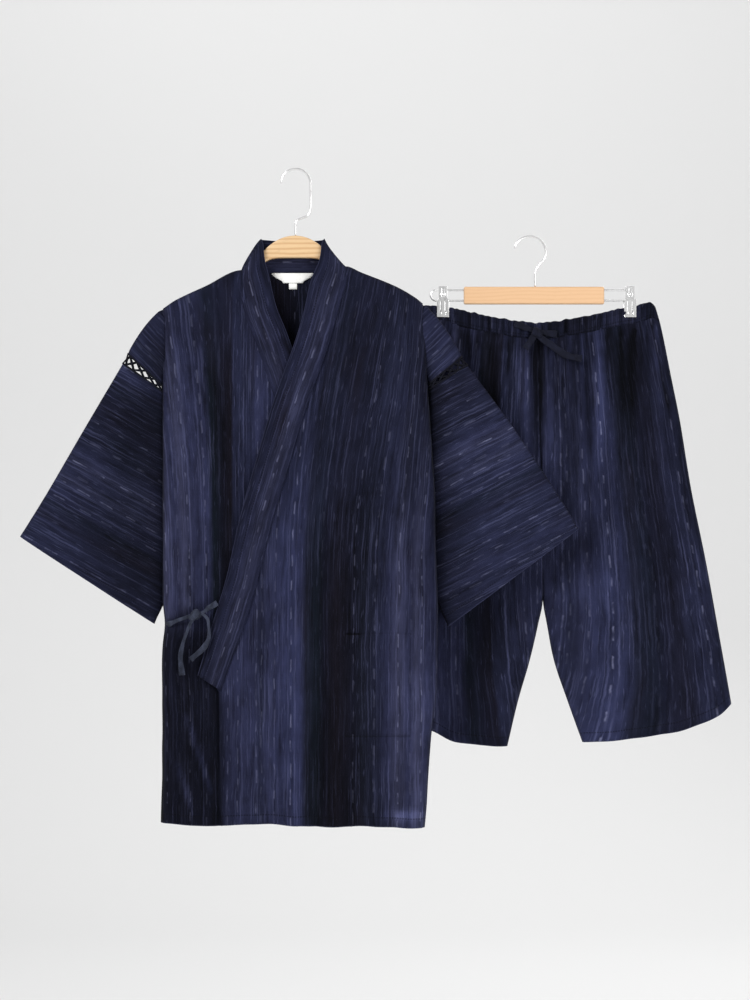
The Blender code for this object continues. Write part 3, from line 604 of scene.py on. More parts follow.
def shell(name, layout, material, thick=CLOTH, outward=(0, -1, 0), ring=False):
    """A cloth shell from a layout. With ring each line closes on itself: its last entry holds only the
    numbers that the UV maps reach there."""
    grid = layout.places(ring)
    mesh = bmesh.new()
    layers = [mesh.loops.layers.uv.new(layer) for layer in ("warp", "edge", "shade")]
    verts = [[mesh.verts.new(place) for place in line] for line in grid]
    middle, below = grid[len(grid) // 2], grid[len(grid) // 2 + 1]
    j = len(middle) // (4 if ring else 2)
    facing = (below[j] - middle[j]).cross(middle[j + 1] - middle[j]).dot(Vector(outward)) > 0
    for i in range(len(grid) - 1):
        for j in range(len(grid[0]) if ring else len(grid[0]) - 1):
            k = (j + 1) % len(verts[i])
            corners = [(i, j, verts[i][j]), (i + 1, j, verts[i + 1][j]),
                       (i + 1, j + 1, verts[i + 1][k]), (i, j + 1, verts[i][k])]
            if not facing:
                corners.reverse()
            face = mesh.faces.new([corner[2] for corner in corners])
            face.smooth = True
            for loop, (line, at, _) in zip(face.loops, corners):
                for layer, numbers in zip(layers, layout.lines[line][at][1:]):
                    loop[layer].uv = numbers
    obj = object_from(mesh, name, material)
    solid = obj.modifiers.new("Thickness", "SOLIDIFY")
    solid.thickness = thick
    solid.offset = -1
    solid.use_even_offset = True
    solid.thickness_clamp = 1.0
    apply_modifiers(obj)
    closed = [[*line, line[0]] if ring else line for line in grid]
    wide = max(length_of(line) for line in closed)
    obj["cut"] = (wide, max(length_of(line) for line in zip(*grid)), area_of(closed))
    return obj


# %% Finishing a piece
def finish_piece(obj, *nodes, slot="striped_cloth", held=None, rests_on=(), with_pieces=()):
    """The piece rides on the set and stands for its nodes, which it hides; a held piece prints its cut size.
    """
    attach(obj, "root")
    if nodes:
        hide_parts(*nodes)
    if held:
        wide, long, area = obj["cut"]
        round(min(area, wide * long), 5)
        print(f"{obj.name}: {wide * 1000:.0f} x {long * 1000:.0f} mm, {area * 1e4:.0f} cm2,",
              len(obj.data.polygons), "faces")
        del obj["cut"]


# %% [markdown]
# # The jacket's body
# A jinbei jacket is straight-cut: two fronts and a back that hang from the hanger's arms. The front
# on the wearer's left laps over the other. Where a table below gives the body's outline, every
# panel reads the same table, so neighbours share their seams. The panels are not flat: they turn
# round the sides in a soft quarter circle and lie over the hanger's arms.

# %% The body's outline
# height, wearer's right edge, wearer's left edge, front layer, back layer, middle
BODY = (
    (-0.130, -0.178, 0.1715, -0.0095, 0.0095, 0.000),
    (-0.200, -0.178, 0.1730, -0.0135, 0.0120, 0.000),
    (-0.297, -0.178, 0.1790, -0.0200, 0.0160, -0.004),
    (-0.400, -0.178, 0.1865, -0.0240, 0.0175, -0.008),
    (-0.600, -0.178, 0.1920, -0.0260, 0.0180, -0.008),
    (-0.683, -0.177, 0.1920, -0.0265, 0.0180, -0.008),
    (-0.755, -0.179, 0.1845, -0.0265, 0.0180, -0.008),
    (-0.841, -0.180, 0.1785, -0.0265, 0.0180, -0.008),
    (-0.890, -0.181, 0.1755, -0.0265, 0.0180, -0.008),
)
SHOULDER = (
    (-0.1780, -0.1870), (-0.1610, -0.1755), (-0.1215, -0.1570), (-0.0715, -0.1350), (-0.0600, -0.1375),
    (0.0580, -0.1375), (0.0690, -0.1300), (0.0890, -0.1380), (0.1360, -0.1570), (0.1630, -0.1725),
    (0.1715, -0.1800),
)
HEM = (
    (-0.181, -0.8790), (-0.120, -0.8830), (-0.042, -0.8790), (0.010, -0.8830), (0.097, -0.8830),
    (0.1755, -0.8860),
)
NECK_X = (-0.0725, 0.070)
ARCH_RADIUS, SIDE_RADIUS = 0.0095, 0.022
ARMHOLE_OPEN = 0.0044
OVERLAP_TOP, OVERLAP_FULL, OVERLAP_DEPTH = -0.150, -0.240, 0.0055


def body_point(x, z, side, inset=0.0):
    """A point on the body's outer side: side is -1 on the front and 1 on the back."""
    right, left = read(BODY, z, 1), read(BODY, z, 2)
    middle = read(BODY, z, 5)
    layer = read(BODY, z, 3) + inset if side < 0 else read(BODY, z, 4)
    open_by = ARMHOLE_OPEN * ease((z + 0.310) / 0.050)
    from_side = min(x - right, left - x) + open_by
    below = read(SHOULDER, x) - z
    if side > 0 and NECK_X[0] < x < NECK_X[1]:
        below += ARCH_RADIUS
    full = rounding(from_side, SIDE_RADIUS) * rounding(below, ARCH_RADIUS)
    y = middle * rounding(below, ARCH_RADIUS) + (layer - middle) * full
    return Vector((x, y, z))


def overlap_inset(z):
    return OVERLAP_DEPTH * ease((OVERLAP_TOP - z) / (OVERLAP_TOP - OVERLAP_FULL))


def fan(x, z, over=True):
    """How far a stripe has moved outwards where the cloth is taken up at the shoulder."""
    rise = z + 0.47
    rise = (rise + math.sqrt(rise * rise + 0.006)) / 2
    if not over:
        return -rise * 0.11 * ease((-0.075 - x) / 0.100)
    return rise * (0.13 + 0.05 * ease(x / 0.12)) * (1 - 0.4 * ease((x - 0.13) / 0.05))


def wobble(z, edge):
    """How far a side seam strays from its line; both layers share it. The tie draws the right one in."""
    drawn = math.exp(-((z + 0.612) / 0.020) ** 2) - 0.7 * math.exp(-((z + 0.668) / 0.032) ** 2)
    return 0.0016 * noise.noise(Vector((z / 0.055, edge * 7.0, 1.5))) + (0.0030 * drawn if edge == 1 else 0.0)


print("body outline:", len(BODY), "rows")

# %% [markdown]
# The collar is one folded band, from its end on the over front, up round the neck and down to the
# hidden end. Its table gives the free edge and the seam. The fronts read the seam from it.

# %% The collar's line
# free edge x, y, z, then seam x, y, z
COLLAR = (
    (-0.1296, -0.0275, -0.6804, -0.1013, -0.0280, -0.6986),
    (-0.1202, -0.0277, -0.6480, -0.0864, -0.0280, -0.6588),
    (-0.1053, -0.0277, -0.5967, -0.0675, -0.0278, -0.6060),
    (-0.0905, -0.0274, -0.5468, -0.0527, -0.0274, -0.5549),
    (-0.0729, -0.0268, -0.4685, -0.0338, -0.0268, -0.4790),
    (-0.0540, -0.0257, -0.4010, -0.0142, -0.0258, -0.4130),
    (-0.0297, -0.0228, -0.3173, 0.0101, -0.0233, -0.3294),
    (-0.0027, -0.0186, -0.2417, 0.0371, -0.0193, -0.2538),
    (0.0115, -0.0150, -0.1944, 0.0513, -0.0160, -0.2070),
    (0.0216, -0.0130, -0.1510, 0.0600, -0.0135, -0.1740),
    (0.0330, -0.0120, -0.1230, 0.0665, -0.0120, -0.1550),
    (0.0365, -0.0100, -0.1000, 0.0690, -0.0102, -0.1400),
    (0.0390, -0.0055, -0.0945, 0.0693, -0.0066, -0.1325),
    (0.0400, 0.0000, -0.0925, 0.0690, 0.0000, -0.1297),
    (0.0390, 0.0060, -0.0930, 0.0670, 0.0060, -0.1312),
    (0.0360, 0.0092, -0.0940, 0.0585, 0.0095, -0.1345),
    (0.0240, 0.0098, -0.0950, 0.0300, 0.0100, -0.1365),
    (0.0000, 0.0098, -0.0960, 0.0000, 0.0100, -0.1365),
    (-0.0250, 0.0098, -0.0950, -0.0310, 0.0100, -0.1365),
    (-0.0400, 0.0092, -0.0940, -0.0605, 0.0095, -0.1350),
    (-0.0450, 0.0060, -0.0935, -0.0695, 0.0060, -0.1345),
    (-0.0460, 0.0000, -0.0930, -0.0715, 0.0000, -0.1347),
    (-0.0450, -0.0055, -0.0950, -0.0720, -0.0066, -0.1375),
    (-0.0425, -0.0100, -0.1020, -0.0728, -0.0102, -0.1450),
    (-0.0405, -0.0118, -0.1215, -0.0730, -0.0115, -0.1580),
    (-0.0338, -0.0115, -0.1470, -0.0700, -0.0115, -0.1700),
    (-0.0243, -0.0105, -0.1863, -0.0629, -0.0105, -0.1987),
    (-0.0081, -0.0110, -0.2268, -0.0470, -0.0115, -0.2390),
    (0.0189, -0.0160, -0.3090, -0.0200, -0.0165, -0.3210),
    (0.0459, -0.0193, -0.3929, 0.0068, -0.0198, -0.4050),
    (0.0675, -0.0207, -0.4725, 0.0284, -0.0208, -0.4833),
    (0.0850, -0.0211, -0.5468, 0.0459, -0.0212, -0.5560),
    (0.1040, -0.0214, -0.6480, 0.0675, -0.0215, -0.6575),
    (0.1120, -0.0214, -0.6885, 0.0770, -0.0215, -0.7020),
)
OVER_END, UNDER_START = 13, 21  # the rows on the two shoulder lines
OVER_SEAM = [(row[5], row[3]) for row in COLLAR[: OVER_END + 1]]
UNDER_SEAM = [(row[5], row[3]) for row in COLLAR[:UNDER_START - 1:-1]]
print("collar band about", round((Vector(COLLAR[4][:3]) - Vector(COLLAR[4][3:])).length * 1000), "mm wide")

# %% [markdown]
# Each front is a grid whose columns run from the shoulder to the hem. The creases are the ones that
# hanging makes: long soft pulls from the shoulder and the tie, a shallow fold over the chest, and
# short ones above the hem. The hidden sides get similar ones.

# %% The body's creases
FRONT_LEFT_CREASES = (
    (0.095, -0.170, 0.060, -0.330, 0.016, -0.0016), (0.140, -0.190, 0.118, -0.360, 0.013, 0.0018),
    (0.158, -0.230, 0.150, -0.520, 0.010, -0.0015), (0.168, -0.330, 0.176, -0.700, 0.008, 0.0016),
    (0.060, -0.330, 0.020, -0.520, 0.018, 0.0014), (0.105, -0.420, 0.092, -0.610, 0.014, -0.0013),
    (-0.060, -0.640, 0.010, -0.560, 0.012, -0.0018), (-0.075, -0.665, -0.020, -0.690, 0.010, 0.0014),
    (-0.070, -0.640, -0.060, -0.780, 0.012, 0.0015), (0.040, -0.640, 0.036, -0.860, 0.013, -0.0013),
    (-0.030, -0.700, -0.036, -0.870, 0.012, 0.0014), (0.120, -0.770, 0.128, -0.880, 0.012, 0.0016),
    (0.150, -0.780, 0.146, -0.880, 0.010, -0.0015), (0.085, -0.790, 0.080, -0.880, 0.011, -0.0012),
)
FRONT_RIGHT_CREASES = (
    (-0.160, -0.210, -0.140, -0.400, 0.011, 0.0020), (-0.130, -0.180, -0.118, -0.360, 0.013, -0.0016),
    (-0.150, -0.330, -0.128, -0.520, 0.011, -0.0018), (-0.112, -0.280, -0.106, -0.560, 0.012, 0.0016),
    (-0.095, -0.200, -0.080, -0.330, 0.012, -0.0012), (-0.168, -0.420, -0.166, -0.600, 0.007, 0.0015),
    (-0.172, -0.610, -0.110, -0.585, 0.010, -0.0024), (-0.168, -0.632, -0.120, -0.618, 0.010, 0.0018),
    (-0.150, -0.640, -0.130, -0.860, 0.013, -0.0018), (-0.112, -0.690, -0.100, -0.860, 0.010, 0.0016),
    (-0.168, -0.700, -0.172, -0.870, 0.008, 0.0014),
)
BACK_CREASES = (
    (-0.120, -0.180, -0.070, -0.420, 0.016, 0.0018), (0.110, -0.180, 0.060, -0.420, 0.016, 0.0018),
    (-0.150, -0.250, -0.140, -0.560, 0.012, -0.0016), (0.150, -0.250, 0.142, -0.580, 0.012, -0.0016),
    (-0.050, -0.260, -0.045, -0.640, 0.018, -0.0012), (0.040, -0.300, 0.050, -0.700, 0.016, -0.0013),
    (-0.100, -0.560, -0.110, -0.870, 0.014, 0.0015), (0.090, -0.600, 0.098, -0.870, 0.014, 0.0016),
    (0.000, -0.620, -0.008, -0.870, 0.012, 0.0013), (-0.150, -0.640, -0.155, -0.870, 0.010, -0.0014),
    (0.145, -0.660, 0.150, -0.870, 0.010, -0.0014), (0.001, -0.160, 0.001, -0.880, 0.0022, -0.0011),
)
# Painted highlights along pulls on the dark part of the under front: the same columns, and the rise is how
# much lighter
UNDER_PAINTED_HIGHLIGHTS = (
    (-0.146, -0.735, -0.112, -0.835, 0.0034, 0.9), (-0.158, -0.800, -0.135, -0.868, 0.0034, 0.7),
)
SETTLE = 0.020  # below the shoulder, how soon a column reaches its place across
BODY_ROWS = 138
HEM_FOLD = 0.0135
FRONT_SEED, FRONT_SHIFT = 1.0, 0.1215  # the over front's sway, and where its stripes begin
print(len(FRONT_LEFT_CREASES) + len(FRONT_RIGHT_CREASES) + len(BACK_CREASES), "creases on the body")

# %% [markdown]
# The two fronts are one cloth, yet they don't look alike. Across the chest the over front is quiet,
# and below the waist its bands stand out. The under front is dark below the tie. Both are told by
# how light the dye is, with painted highlights and painted shade in it, and how strongly the bands
# show, at each place.

# %% The dye and painted light of the two fronts
def heights(top, bottom, count):
    """Heights down a column: close together over the hanger's arm, then even."""
    near = [0.0, 0.0006, 0.0018, 0.0036, 0.0060, 0.0095, 0.014, 0.020]
    last = near[-1]
    rest = [top - last - (top - bottom - last) * (i + 1) / count for i in range(count)]
    return [top - down for down in near] + rest


def chest_dye_and_highlight(x, z):
    """The over front: full bands below, quieter and darker across the chest and by its inner edge, and a
    painted highlight along its hem fold.
    """
    low = ease((-0.36 - z) / 0.24)
    dark = 1 - 0.25 * ease((x - 0.14) / 0.03) * (1 - low)
    dark *= 1 - 0.55 * ease((-0.068 - x) / 0.032) * ease((-0.69 - z) / 0.04)
    dark *= 1 - 0.30 * math.exp(-((x - 0.104) / 0.026) ** 2) * ease((-0.58 - z) / 0.16)
    dark *= 1 + 0.42 * ease((x - 0.138) / 0.02) * ease((-0.60 - z) / 0.12)
    # painted highlight: a narrow bright line along the hem fold, where it stands proud
    hem_fold_highlight = 2.4 * math.exp(-((x - 0.150) / 0.022) ** 2 - ((z + 0.868) / 0.006) ** 2)
    return mix(0.84, 1.0, low) * dark + hem_fold_highlight, mix(0.30, 1.0, low)


def under_dye_and_painted_light(x, z):
    """The under front: a dark band by the collar, and dark all over below the tie, with painted highlights
    along two pulls and painted shade along its side fold.
    """
    low = ease((-0.585 - z) / 0.05)
    # painted shade: darker within 6 mm of the side fold; below, the two pulls are painted highlights
    edge = ease((x + 0.180) / 0.006)
    by_collar = mix(0.55, 1.0, ease((-0.20 - z) / 0.10))
    light = mix(1.0, 0.25, low) * mix(0.6, 1.0, edge) + creased(x, z, UNDER_PAINTED_HIGHLIGHTS)
    return light, mix(by_collar, 0.35, low)


print("the over front by its hem:", [round(n, 2) for n in chest_dye_and_highlight(0.10, -0.85)])


# %% The fronts and the back
def relief(x, z, creases, seed):
    """How far the jacket's cloth stands out: its creases, a slow sway and a finer one."""
    return creased(x, z, creases) + sway(x, z, seed, size=0.0018) + sway(x, z, seed + 5, 0.016, 0.07, 0.0008)


def body_panel(name, inner_at, edge, top_ends, side, creases, columns, seed, shift,
               inset_by=lambda z: 0.0, dye=lambda x, z: (1.0, 1.0)):
    """A body panel: inner_at gives its inner edge at a height, edge is the column of BODY it ends on,
    and top_ends are its two ends along the shoulder."""
    layout = Layout()
    for c in range(columns + 1):
        share = c / columns
        top_x = mix(*top_ends, share)
        top = read(SHOULDER, top_x)
        hem_x = mix(inner_at(-0.89), read(BODY, -0.89, edge), share)
        hem = read(HEM, hem_x) + 0.0022 * noise.noise(Vector((hem_x / 0.035, seed, 0)))
        layout.line()
        for z in heights(top, hem, BODY_ROWS):
            right, left = read(BODY, z, 1), read(BODY, z, 2)
            x = mix(inner_at(z), read(BODY, z, edge), share)
            if 0 < share < 1:
                x = mix(top_x, x, ease((top - z) / SETTLE))
            point = body_point(x, z, side, inset_by(z))
            settled = ease((top - z) / 0.030) * rounding(min(x - right, left - x), 0.012)
            strays = wobble(z, 2) * ease((x - 0.1) / 0.07) + wobble(z, 1) * ease((-x - 0.1) / 0.07)
            point.x += ease((top - z - 0.02) / 0.05) * strays
            out = relief(x, z, creases, seed)
            fold = 0.0005 * ease((hem + HEM_FOLD - z) / 0.001)
            point.y += side * (out * settled + fold * ease((top - z) / 0.03))
            fanned = fan(x, z, edge == 2) if side < 0 else 0.0
            light, contrast = dye(x, z)
            # painted light and shade: lighter where a crease or sway stands out, darker in its troughs
            tone_and_shade = light * (1 + 110 * out * settled)
            layout.put(point, (x - fanned + shift, z), (z - hem, x), (tone_and_shade, contrast))
    return shell(name, layout, STRIPED, outward=(0, side, 0))


def over_edge(z):
    """The over front's inner edge: under the collar's seam, then down to the hem."""
    tip_x, tip_z = COLLAR[0][3], COLLAR[0][5]
    if z > tip_z:
        return read(OVER_SEAM, z) - 0.004
    return mix(tip_x, -0.0985, min((tip_z - z) / 0.18, 1.0))


def under_edge(z):
    tip_x, tip_z = COLLAR[-1][3], COLLAR[-1][5]
    return read(UNDER_SEAM, z) + 0.004 if z > tip_z else tip_x


def back_edge(z):
    return read(BODY, z, 1)


RIGHT_SHOULDER, LEFT_SHOULDER = SHOULDER[0][0], SHOULDER[-1][0]
front_left = body_panel("front_left", over_edge, 2, (0.0650, LEFT_SHOULDER), -1, FRONT_LEFT_CREASES, 56,
                        FRONT_SEED, FRONT_SHIFT, dye=chest_dye_and_highlight)
front_right = body_panel("front_right", under_edge, 1, (-0.0675, RIGHT_SHOULDER), -1, FRONT_RIGHT_CREASES, 52,
                         2.0, 0.430, overlap_inset, under_dye_and_painted_light)
back = body_panel("back", back_edge, 2, (RIGHT_SHOULDER, LEFT_SHOULDER), 1, BACK_CREASES, 76, 3.0, 0.2)
for panel in (front_left, front_right, back):
    finish_piece(panel, f"jacket_{panel.name}", held="hung", rests_on=["jacket_hanger"])

# %% [markdown]
# The collar band is cut on the straight and folded in two, so its threads run along it and its free
# edge is a soft fold that stands a little proud. It is swept between its two edges with a low bulge
# across, and it laps a few millimetres over the fronts, as a felled seam does.

# %% The collar
BAND, BAND_WIDE = 0.0024, 0.040
COLLAR_COLUMNS = 14


def collar_band():
    free = smooth_path([row[:3] for row in COLLAR], 5)
    seam = smooth_path([row[3:] for row in COLLAR], 5)
    layout = Layout()
    for c in range(COLLAR_COLUMNS + 1):
        share = (1 - math.cos(math.pi * c / COLLAR_COLUMNS)) / 2
        wide = share * BAND_WIDE
        bulge = 0.0016 * (1 - abs(2 * share - 1) ** 5) + 0.0006 * math.sin(math.pi * share)
        shadow = 0.55 * ease((0.006 - wide) / 0.006)
        run = 0.0
        layout.line()
        for i, (a, b) in enumerate(zip(free, seam)):
            down = free[min(i + 1, len(free) - 1)] - free[max(i - 1, 0)]
            out = down.cross(b - a).normalized()
            if out.y > 0 and abs(a.x) > 0.046 or (a.z < -0.16 and out.y > 0):
                out = -out
            place = a.lerp(b, share) + (b - a).normalized() * 0.003 * share
            ripple = 0.0007 * noise.noise(Vector((run / 0.05, share * 1.5, 4.0)))
            lift = bulge + ripple * (1 - abs(2 * share - 1) ** 3)
            if i:
                run += (free[i] - free[i - 1]).length * 0.5 + (seam[i] - seam[i - 1]).length * 0.5
            light = 0.80 - shadow * 0.4 - 0.16 * ease((-0.50 - place.z) / 0.12)
            layout.put(place + out * lift, (wide + 0.234, run), (wide + 0.0006, run), (light, 0.7))
    return shell("collar", layout, STRIPED, BAND, outward=(0, 1, 0))


collar = collar_band()
finish_piece(collar, "jacket_collar", held="stretched", rests_on=["front_left", "front_right", "back"])

# %% [markdown]
# # Sleeves
# Each sleeve is a short cap, a strip of openwork and the wide sleeve itself, flat tubes that taper
# from the armhole. The cloth is turned, so its stripes lie parallel to the cuff. Each is lofted
# through rings: the top and the foot of each ring are given.

# %% Sleeve rings
# place along the sleeve, top x, top z, foot x, foot z, middle y, half thickness
RIGHT_SLEEVE = (
    (0, -0.1784, -0.1890, -0.1784, -0.2790, -0.0010, 0.0085),
    (1, -0.2010, -0.2150, -0.1775, -0.2870, 0.0005, 0.0080),
    (2, -0.2255, -0.2480, -0.1768, -0.2935, 0.0015, 0.0080),
    (3, -0.2325, -0.2610, -0.1762, -0.3010, 0.0020, 0.0080),
    (4, -0.2870, -0.3530, -0.1740, -0.3960, 0.0040, 0.0085),
    (5, -0.3330, -0.4320, -0.1732, -0.4850, 0.0048, 0.0090),
    (6, -0.3600, -0.4760, -0.1732, -0.5640, 0.0050, 0.0095),
    (7, -0.3720, -0.4950, -0.1900, -0.6130, 0.0050, 0.0095),
)
LEFT_SLEEVE = (
    (0, 0.1734, -0.1830, 0.1790, -0.2790, -0.0010, 0.0085),
    (1, 0.1990, -0.2150, 0.1795, -0.2850, 0.0005, 0.0080),
    (2, 0.2250, -0.2520, 0.1805, -0.2890, 0.0015, 0.0080),
    (3, 0.2325, -0.2630, 0.1810, -0.2960, 0.0020, 0.0080),
    (4, 0.2890, -0.3390, 0.1840, -0.3960, 0.0040, 0.0085),
    (5, 0.3395, -0.4140, 0.1868, -0.4850, 0.0048, 0.0090),
    (6, 0.3700, -0.4620, 0.1872, -0.5640, 0.0050, 0.0095),
    (7, 0.3829, -0.4850, 0.2065, -0.6170, 0.0050, 0.0095),
)
CAP_END, SLEEVE_START, CUFF = 2, 3, 7  # rows of both tables; the openwork lies between the first two


def sleeve_place(rows, at, turn):
    """A place on a sleeve: turn goes once round from the top, over the front first."""
    here = [read(rows, at, column) for column in range(1, 7)]
    fall = math.cos(math.tau * turn)
    up = (1 + fall) / 2
    bulge = (1 - abs(fall) ** 3.4) ** (1 / 2.2)
    front = -1 if turn < 0.5 else 1
    return Vector((mix(here[2], here[0], up), here[4] + front * here[5] * bulge, mix(here[3], here[1], up)))


def around():
    """Shares once round a flat tube, evenly spaced across it and closer at both folds."""
    even = 40
    half = [0.0, 0.035, 0.07] + [0.07 + 0.36 * (i + 1) / even for i in range(even)] + [0.465, 0.5]
    return half + [1 - share for share in half[-2:0:-1]]


print("sleeves:", len(RIGHT_SLEEVE) - 1, "sections each")


# %% One sleeve tube
def sleeve_dye_and_painted_light(at, turn, side):
    """Painted highlight along the top fold, painted shade towards the body and, on the right, towards the
    foot.
    """
    foot = (1 - math.cos(math.tau * turn)) / 2
    body = ease((foot - 0.55) / 0.45)
    cap = ease((2.3 - at) / 0.3)
    if side < 0:
        return mix(1.08, 0.50, ease(foot * 1.15)) * (1 + 0.12 * ease((at - 6) / 1)) * (1 - 0.22 * cap)
    return mix(1.35, 1.15, ease((at - 3) / 4)) * (1 - 0.62 * body) * (1 - 0.15 * cap)


def cap_arch(at, up):
    """The cap is full over the shoulder: how far its top fold stands up in a low arch."""
    return (0.0020 * (1 - at / 2) + 0.0030 * math.sin(math.pi * at / 2) ** 0.7) * up


def sleeve_tube(name, rows, span, steps, stripe_angle, creases, seed, shift, overlap=0.0):
    """A tube between two rows of a sleeve's table; its stripes lie at one angle across the front.
    A cap has an overlap, by which it reaches under the body's armhole."""
    angle = math.radians(stripe_angle)
    side = 1 if rows[0][1] > 0 else -1
    layout = Layout()
    for i in range(steps + 1):
        at = mix(*span, i / steps)
        cuff = (span[1] - at) * 0.05 if span[1] == CUFF else 1.0
        layout.line()
        for turn in [*around(), 1.0]:
            place = sleeve_place(rows, at, turn % 1)
            front = -1 if turn <= 0.5 else 1
            fall = math.cos(math.tau * turn)
            out = creased(place.x, place.z, creases) * (1 if front < 0 else 0.7)
            out += sway(place.x, place.z, seed + front, 0.045, 0.06, 0.0016)
            place.y += front * out * (1 - abs(fall) ** 4)
            if overlap:
                arch = cap_arch(at, (1 + fall) / 2)
                place += Vector((side * 0.8 * arch, 0, 0.6 * arch))
            if i == 0:
                place.x -= side * overlap
            across = place.x * side * math.sin(angle) - place.z * math.cos(angle)
            along = place.x * side * math.cos(angle) + place.z * math.sin(angle)
            layout.put(place, (across + shift, along * -front + seed), (cuff, along),
                       (sleeve_dye_and_painted_light(at, turn, side), 0.40))
    return shell(name, layout, STRIPED, outward=(0, -1, 0), ring=True)


# %% The sleeves' creases
RIGHT_CREASES = (
    (-0.200, -0.300, -0.262, -0.372, 0.012, 0.0026), (-0.190, -0.330, -0.240, -0.440, 0.014, -0.0026),
    (-0.235, -0.330, -0.320, -0.450, 0.014, -0.0020), (-0.185, -0.420, -0.230, -0.540, 0.015, 0.0026),
    (-0.250, -0.420, -0.290, -0.540, 0.013, -0.0018), (-0.205, -0.500, -0.215, -0.600, 0.012, -0.0024),
    (-0.300, -0.440, -0.345, -0.500, 0.011, 0.0016),
)
LEFT_CREASES = (
    (0.200, -0.300, 0.250, -0.350, 0.012, 0.0028), (0.195, -0.320, 0.215, -0.450, 0.012, -0.0030),
    (0.240, -0.320, 0.320, -0.430, 0.015, -0.0022), (0.205, -0.430, 0.225, -0.580, 0.014, 0.0026),
    (0.260, -0.410, 0.290, -0.540, 0.014, -0.0020), (0.215, -0.520, 0.222, -0.605, 0.010, -0.0024),
    (0.300, -0.420, 0.350, -0.490, 0.012, 0.0018),
)
CAP_CREASES = {
    "right": (
        (-0.186, -0.200, -0.200, -0.270, 0.007, -0.0020), (-0.195, -0.215, -0.212, -0.262, 0.006, 0.0016),
    ),
    "left": (
        (0.184, -0.196, 0.196, -0.262, 0.007, -0.0022), (0.196, -0.215, 0.212, -0.258, 0.006, 0.0016),
    ),
}
print(len(RIGHT_CREASES) + len(LEFT_CREASES), "creases on the sleeves")

# %% Caps and sleeves
# word, rings, creases, the stripes' angle on the sleeve and on the cap, where the stripes begin
SLEEVES = (
    ("right", RIGHT_SLEEVE, RIGHT_CREASES, 29, 46, 0.120), ("left", LEFT_SLEEVE, LEFT_CREASES, 27, 44, 0.165),
)
for word, rows, creases, angle, cap_angle, shift in SLEEVES:
    cap = sleeve_tube(f"sleeve_cap_{word}", rows, (0, CAP_END), 14, cap_angle, CAP_CREASES[word], 6.0, 0.11,
                      0.004)
    finish_piece(cap, f"jacket_sleeve_cap_{word}", held="hung", rests_on=["front_left", "back"])
    sleeve = sleeve_tube(f"sleeve_{word}", rows, (SLEEVE_START, CUFF), 62, angle, creases, 8.0, shift)
    finish_piece(sleeve, f"jacket_sleeve_{word}", held="hung", rests_on=[f"openwork_{word}"])

# %% [markdown]
# The strip between cap and sleeve is faggoted: cords cross from one turned edge to the other and
# leave small diamonds of air. Threads are modelled for real, since light falls through them. Each
# crossing is a short cord with a swell where the two pass, and both edges have a rolled binding.

# %% Openwork
def skin(mesh, rings):
    """Closes rings of vertices into a smooth tube with flat ends."""
    for a, b in zip(rings, rings[1:]):
        for k in range(len(a)):
            j = (k + 1) % len(a)
            mesh.faces.new((a[k], a[j], b[j], b[k])).smooth = True
    mesh.faces.new(rings[0][::-1])
    mesh.faces.new(rings[-1])


def heading(path, i):
    """The path's direction at one of its points."""
    return (path[min(i + 1, len(path) - 1)] - path[max(i - 1, 0)]).normalized()


def round_cord(mesh, path, radius, sides=6):
    """Adds a closed round cord along the path; radius gives its size from start (0) to end (1)."""
    rings = []
    for i, place in enumerate(path):
        along = heading(path, i)
        side = along.cross(Vector((0, 1, 0)))
        side = side.normalized() if side.length > 0.1 else along.cross(Vector((0, 0, 1))).normalized()
        other = side.cross(along)
        size = radius(i / (len(path) - 1))
        turns = [math.tau * k / sides for k in range(sides)]
        spokes = [side * math.cos(turn) + other * math.sin(turn) for turn in turns]
        rings.append([mesh.verts.new(place + spoke * size) for spoke in spokes])
    skin(mesh, rings)


def openwork(word, rows, pitches):
    mesh = bmesh.new()
    upper, lower = ([sleeve_place(rows, at, i / pitches) for i in range(pitches)] for at in (2.02, 2.98))
    middle = sum(place.y for place in upper + lower) / (2 * pitches)
    for i in range(pitches):
        j = (i + 1) % pitches
        for start, end, lift in ((upper[i], lower[j], 0.0009), (upper[j], lower[i], -0.0003)):
            out = Vector((0, math.copysign(1, (start.y + end.y) / 2 - middle), 0))
            path = [start.lerp(end, k / 8) + out * lift * math.sin(math.pi * k / 8) for k in range(9)]
            round_cord(mesh, path, lambda t: 0.0009 + 0.0004 * math.sin(math.pi * t) ** 2)
    for at in (CAP_END, SLEEVE_START):
        edge = [sleeve_place(rows, at, turn) for turn in around()]
        round_cord(mesh, [*edge, edge[0]], lambda t: 0.0013)
    bmesh.ops.recalc_face_normals(mesh, faces=mesh.faces)
    return object_from(mesh, f"openwork_{word}", OPENWORK)


for word, rows, *_ in SLEEVES:
    strip = openwork(word, rows, 12)
    finish_piece(strip, f"jacket_sleeve_lattice_{word}", slot="openwork")
    print(strip.name, len(strip.data.polygons), "faces")

# %% [markdown]
# # Pocket, label and tab
# The pocket is a patch of the same cloth, matched to the stripes under it, so only its mouth and
# its edges show. The label is a small boat of bare white taffeta sewn inside the back neck.

# %% Pocket
POCKET_X, POCKET_Z = (0.0675, 0.1560), (-0.6240, -0.7630)


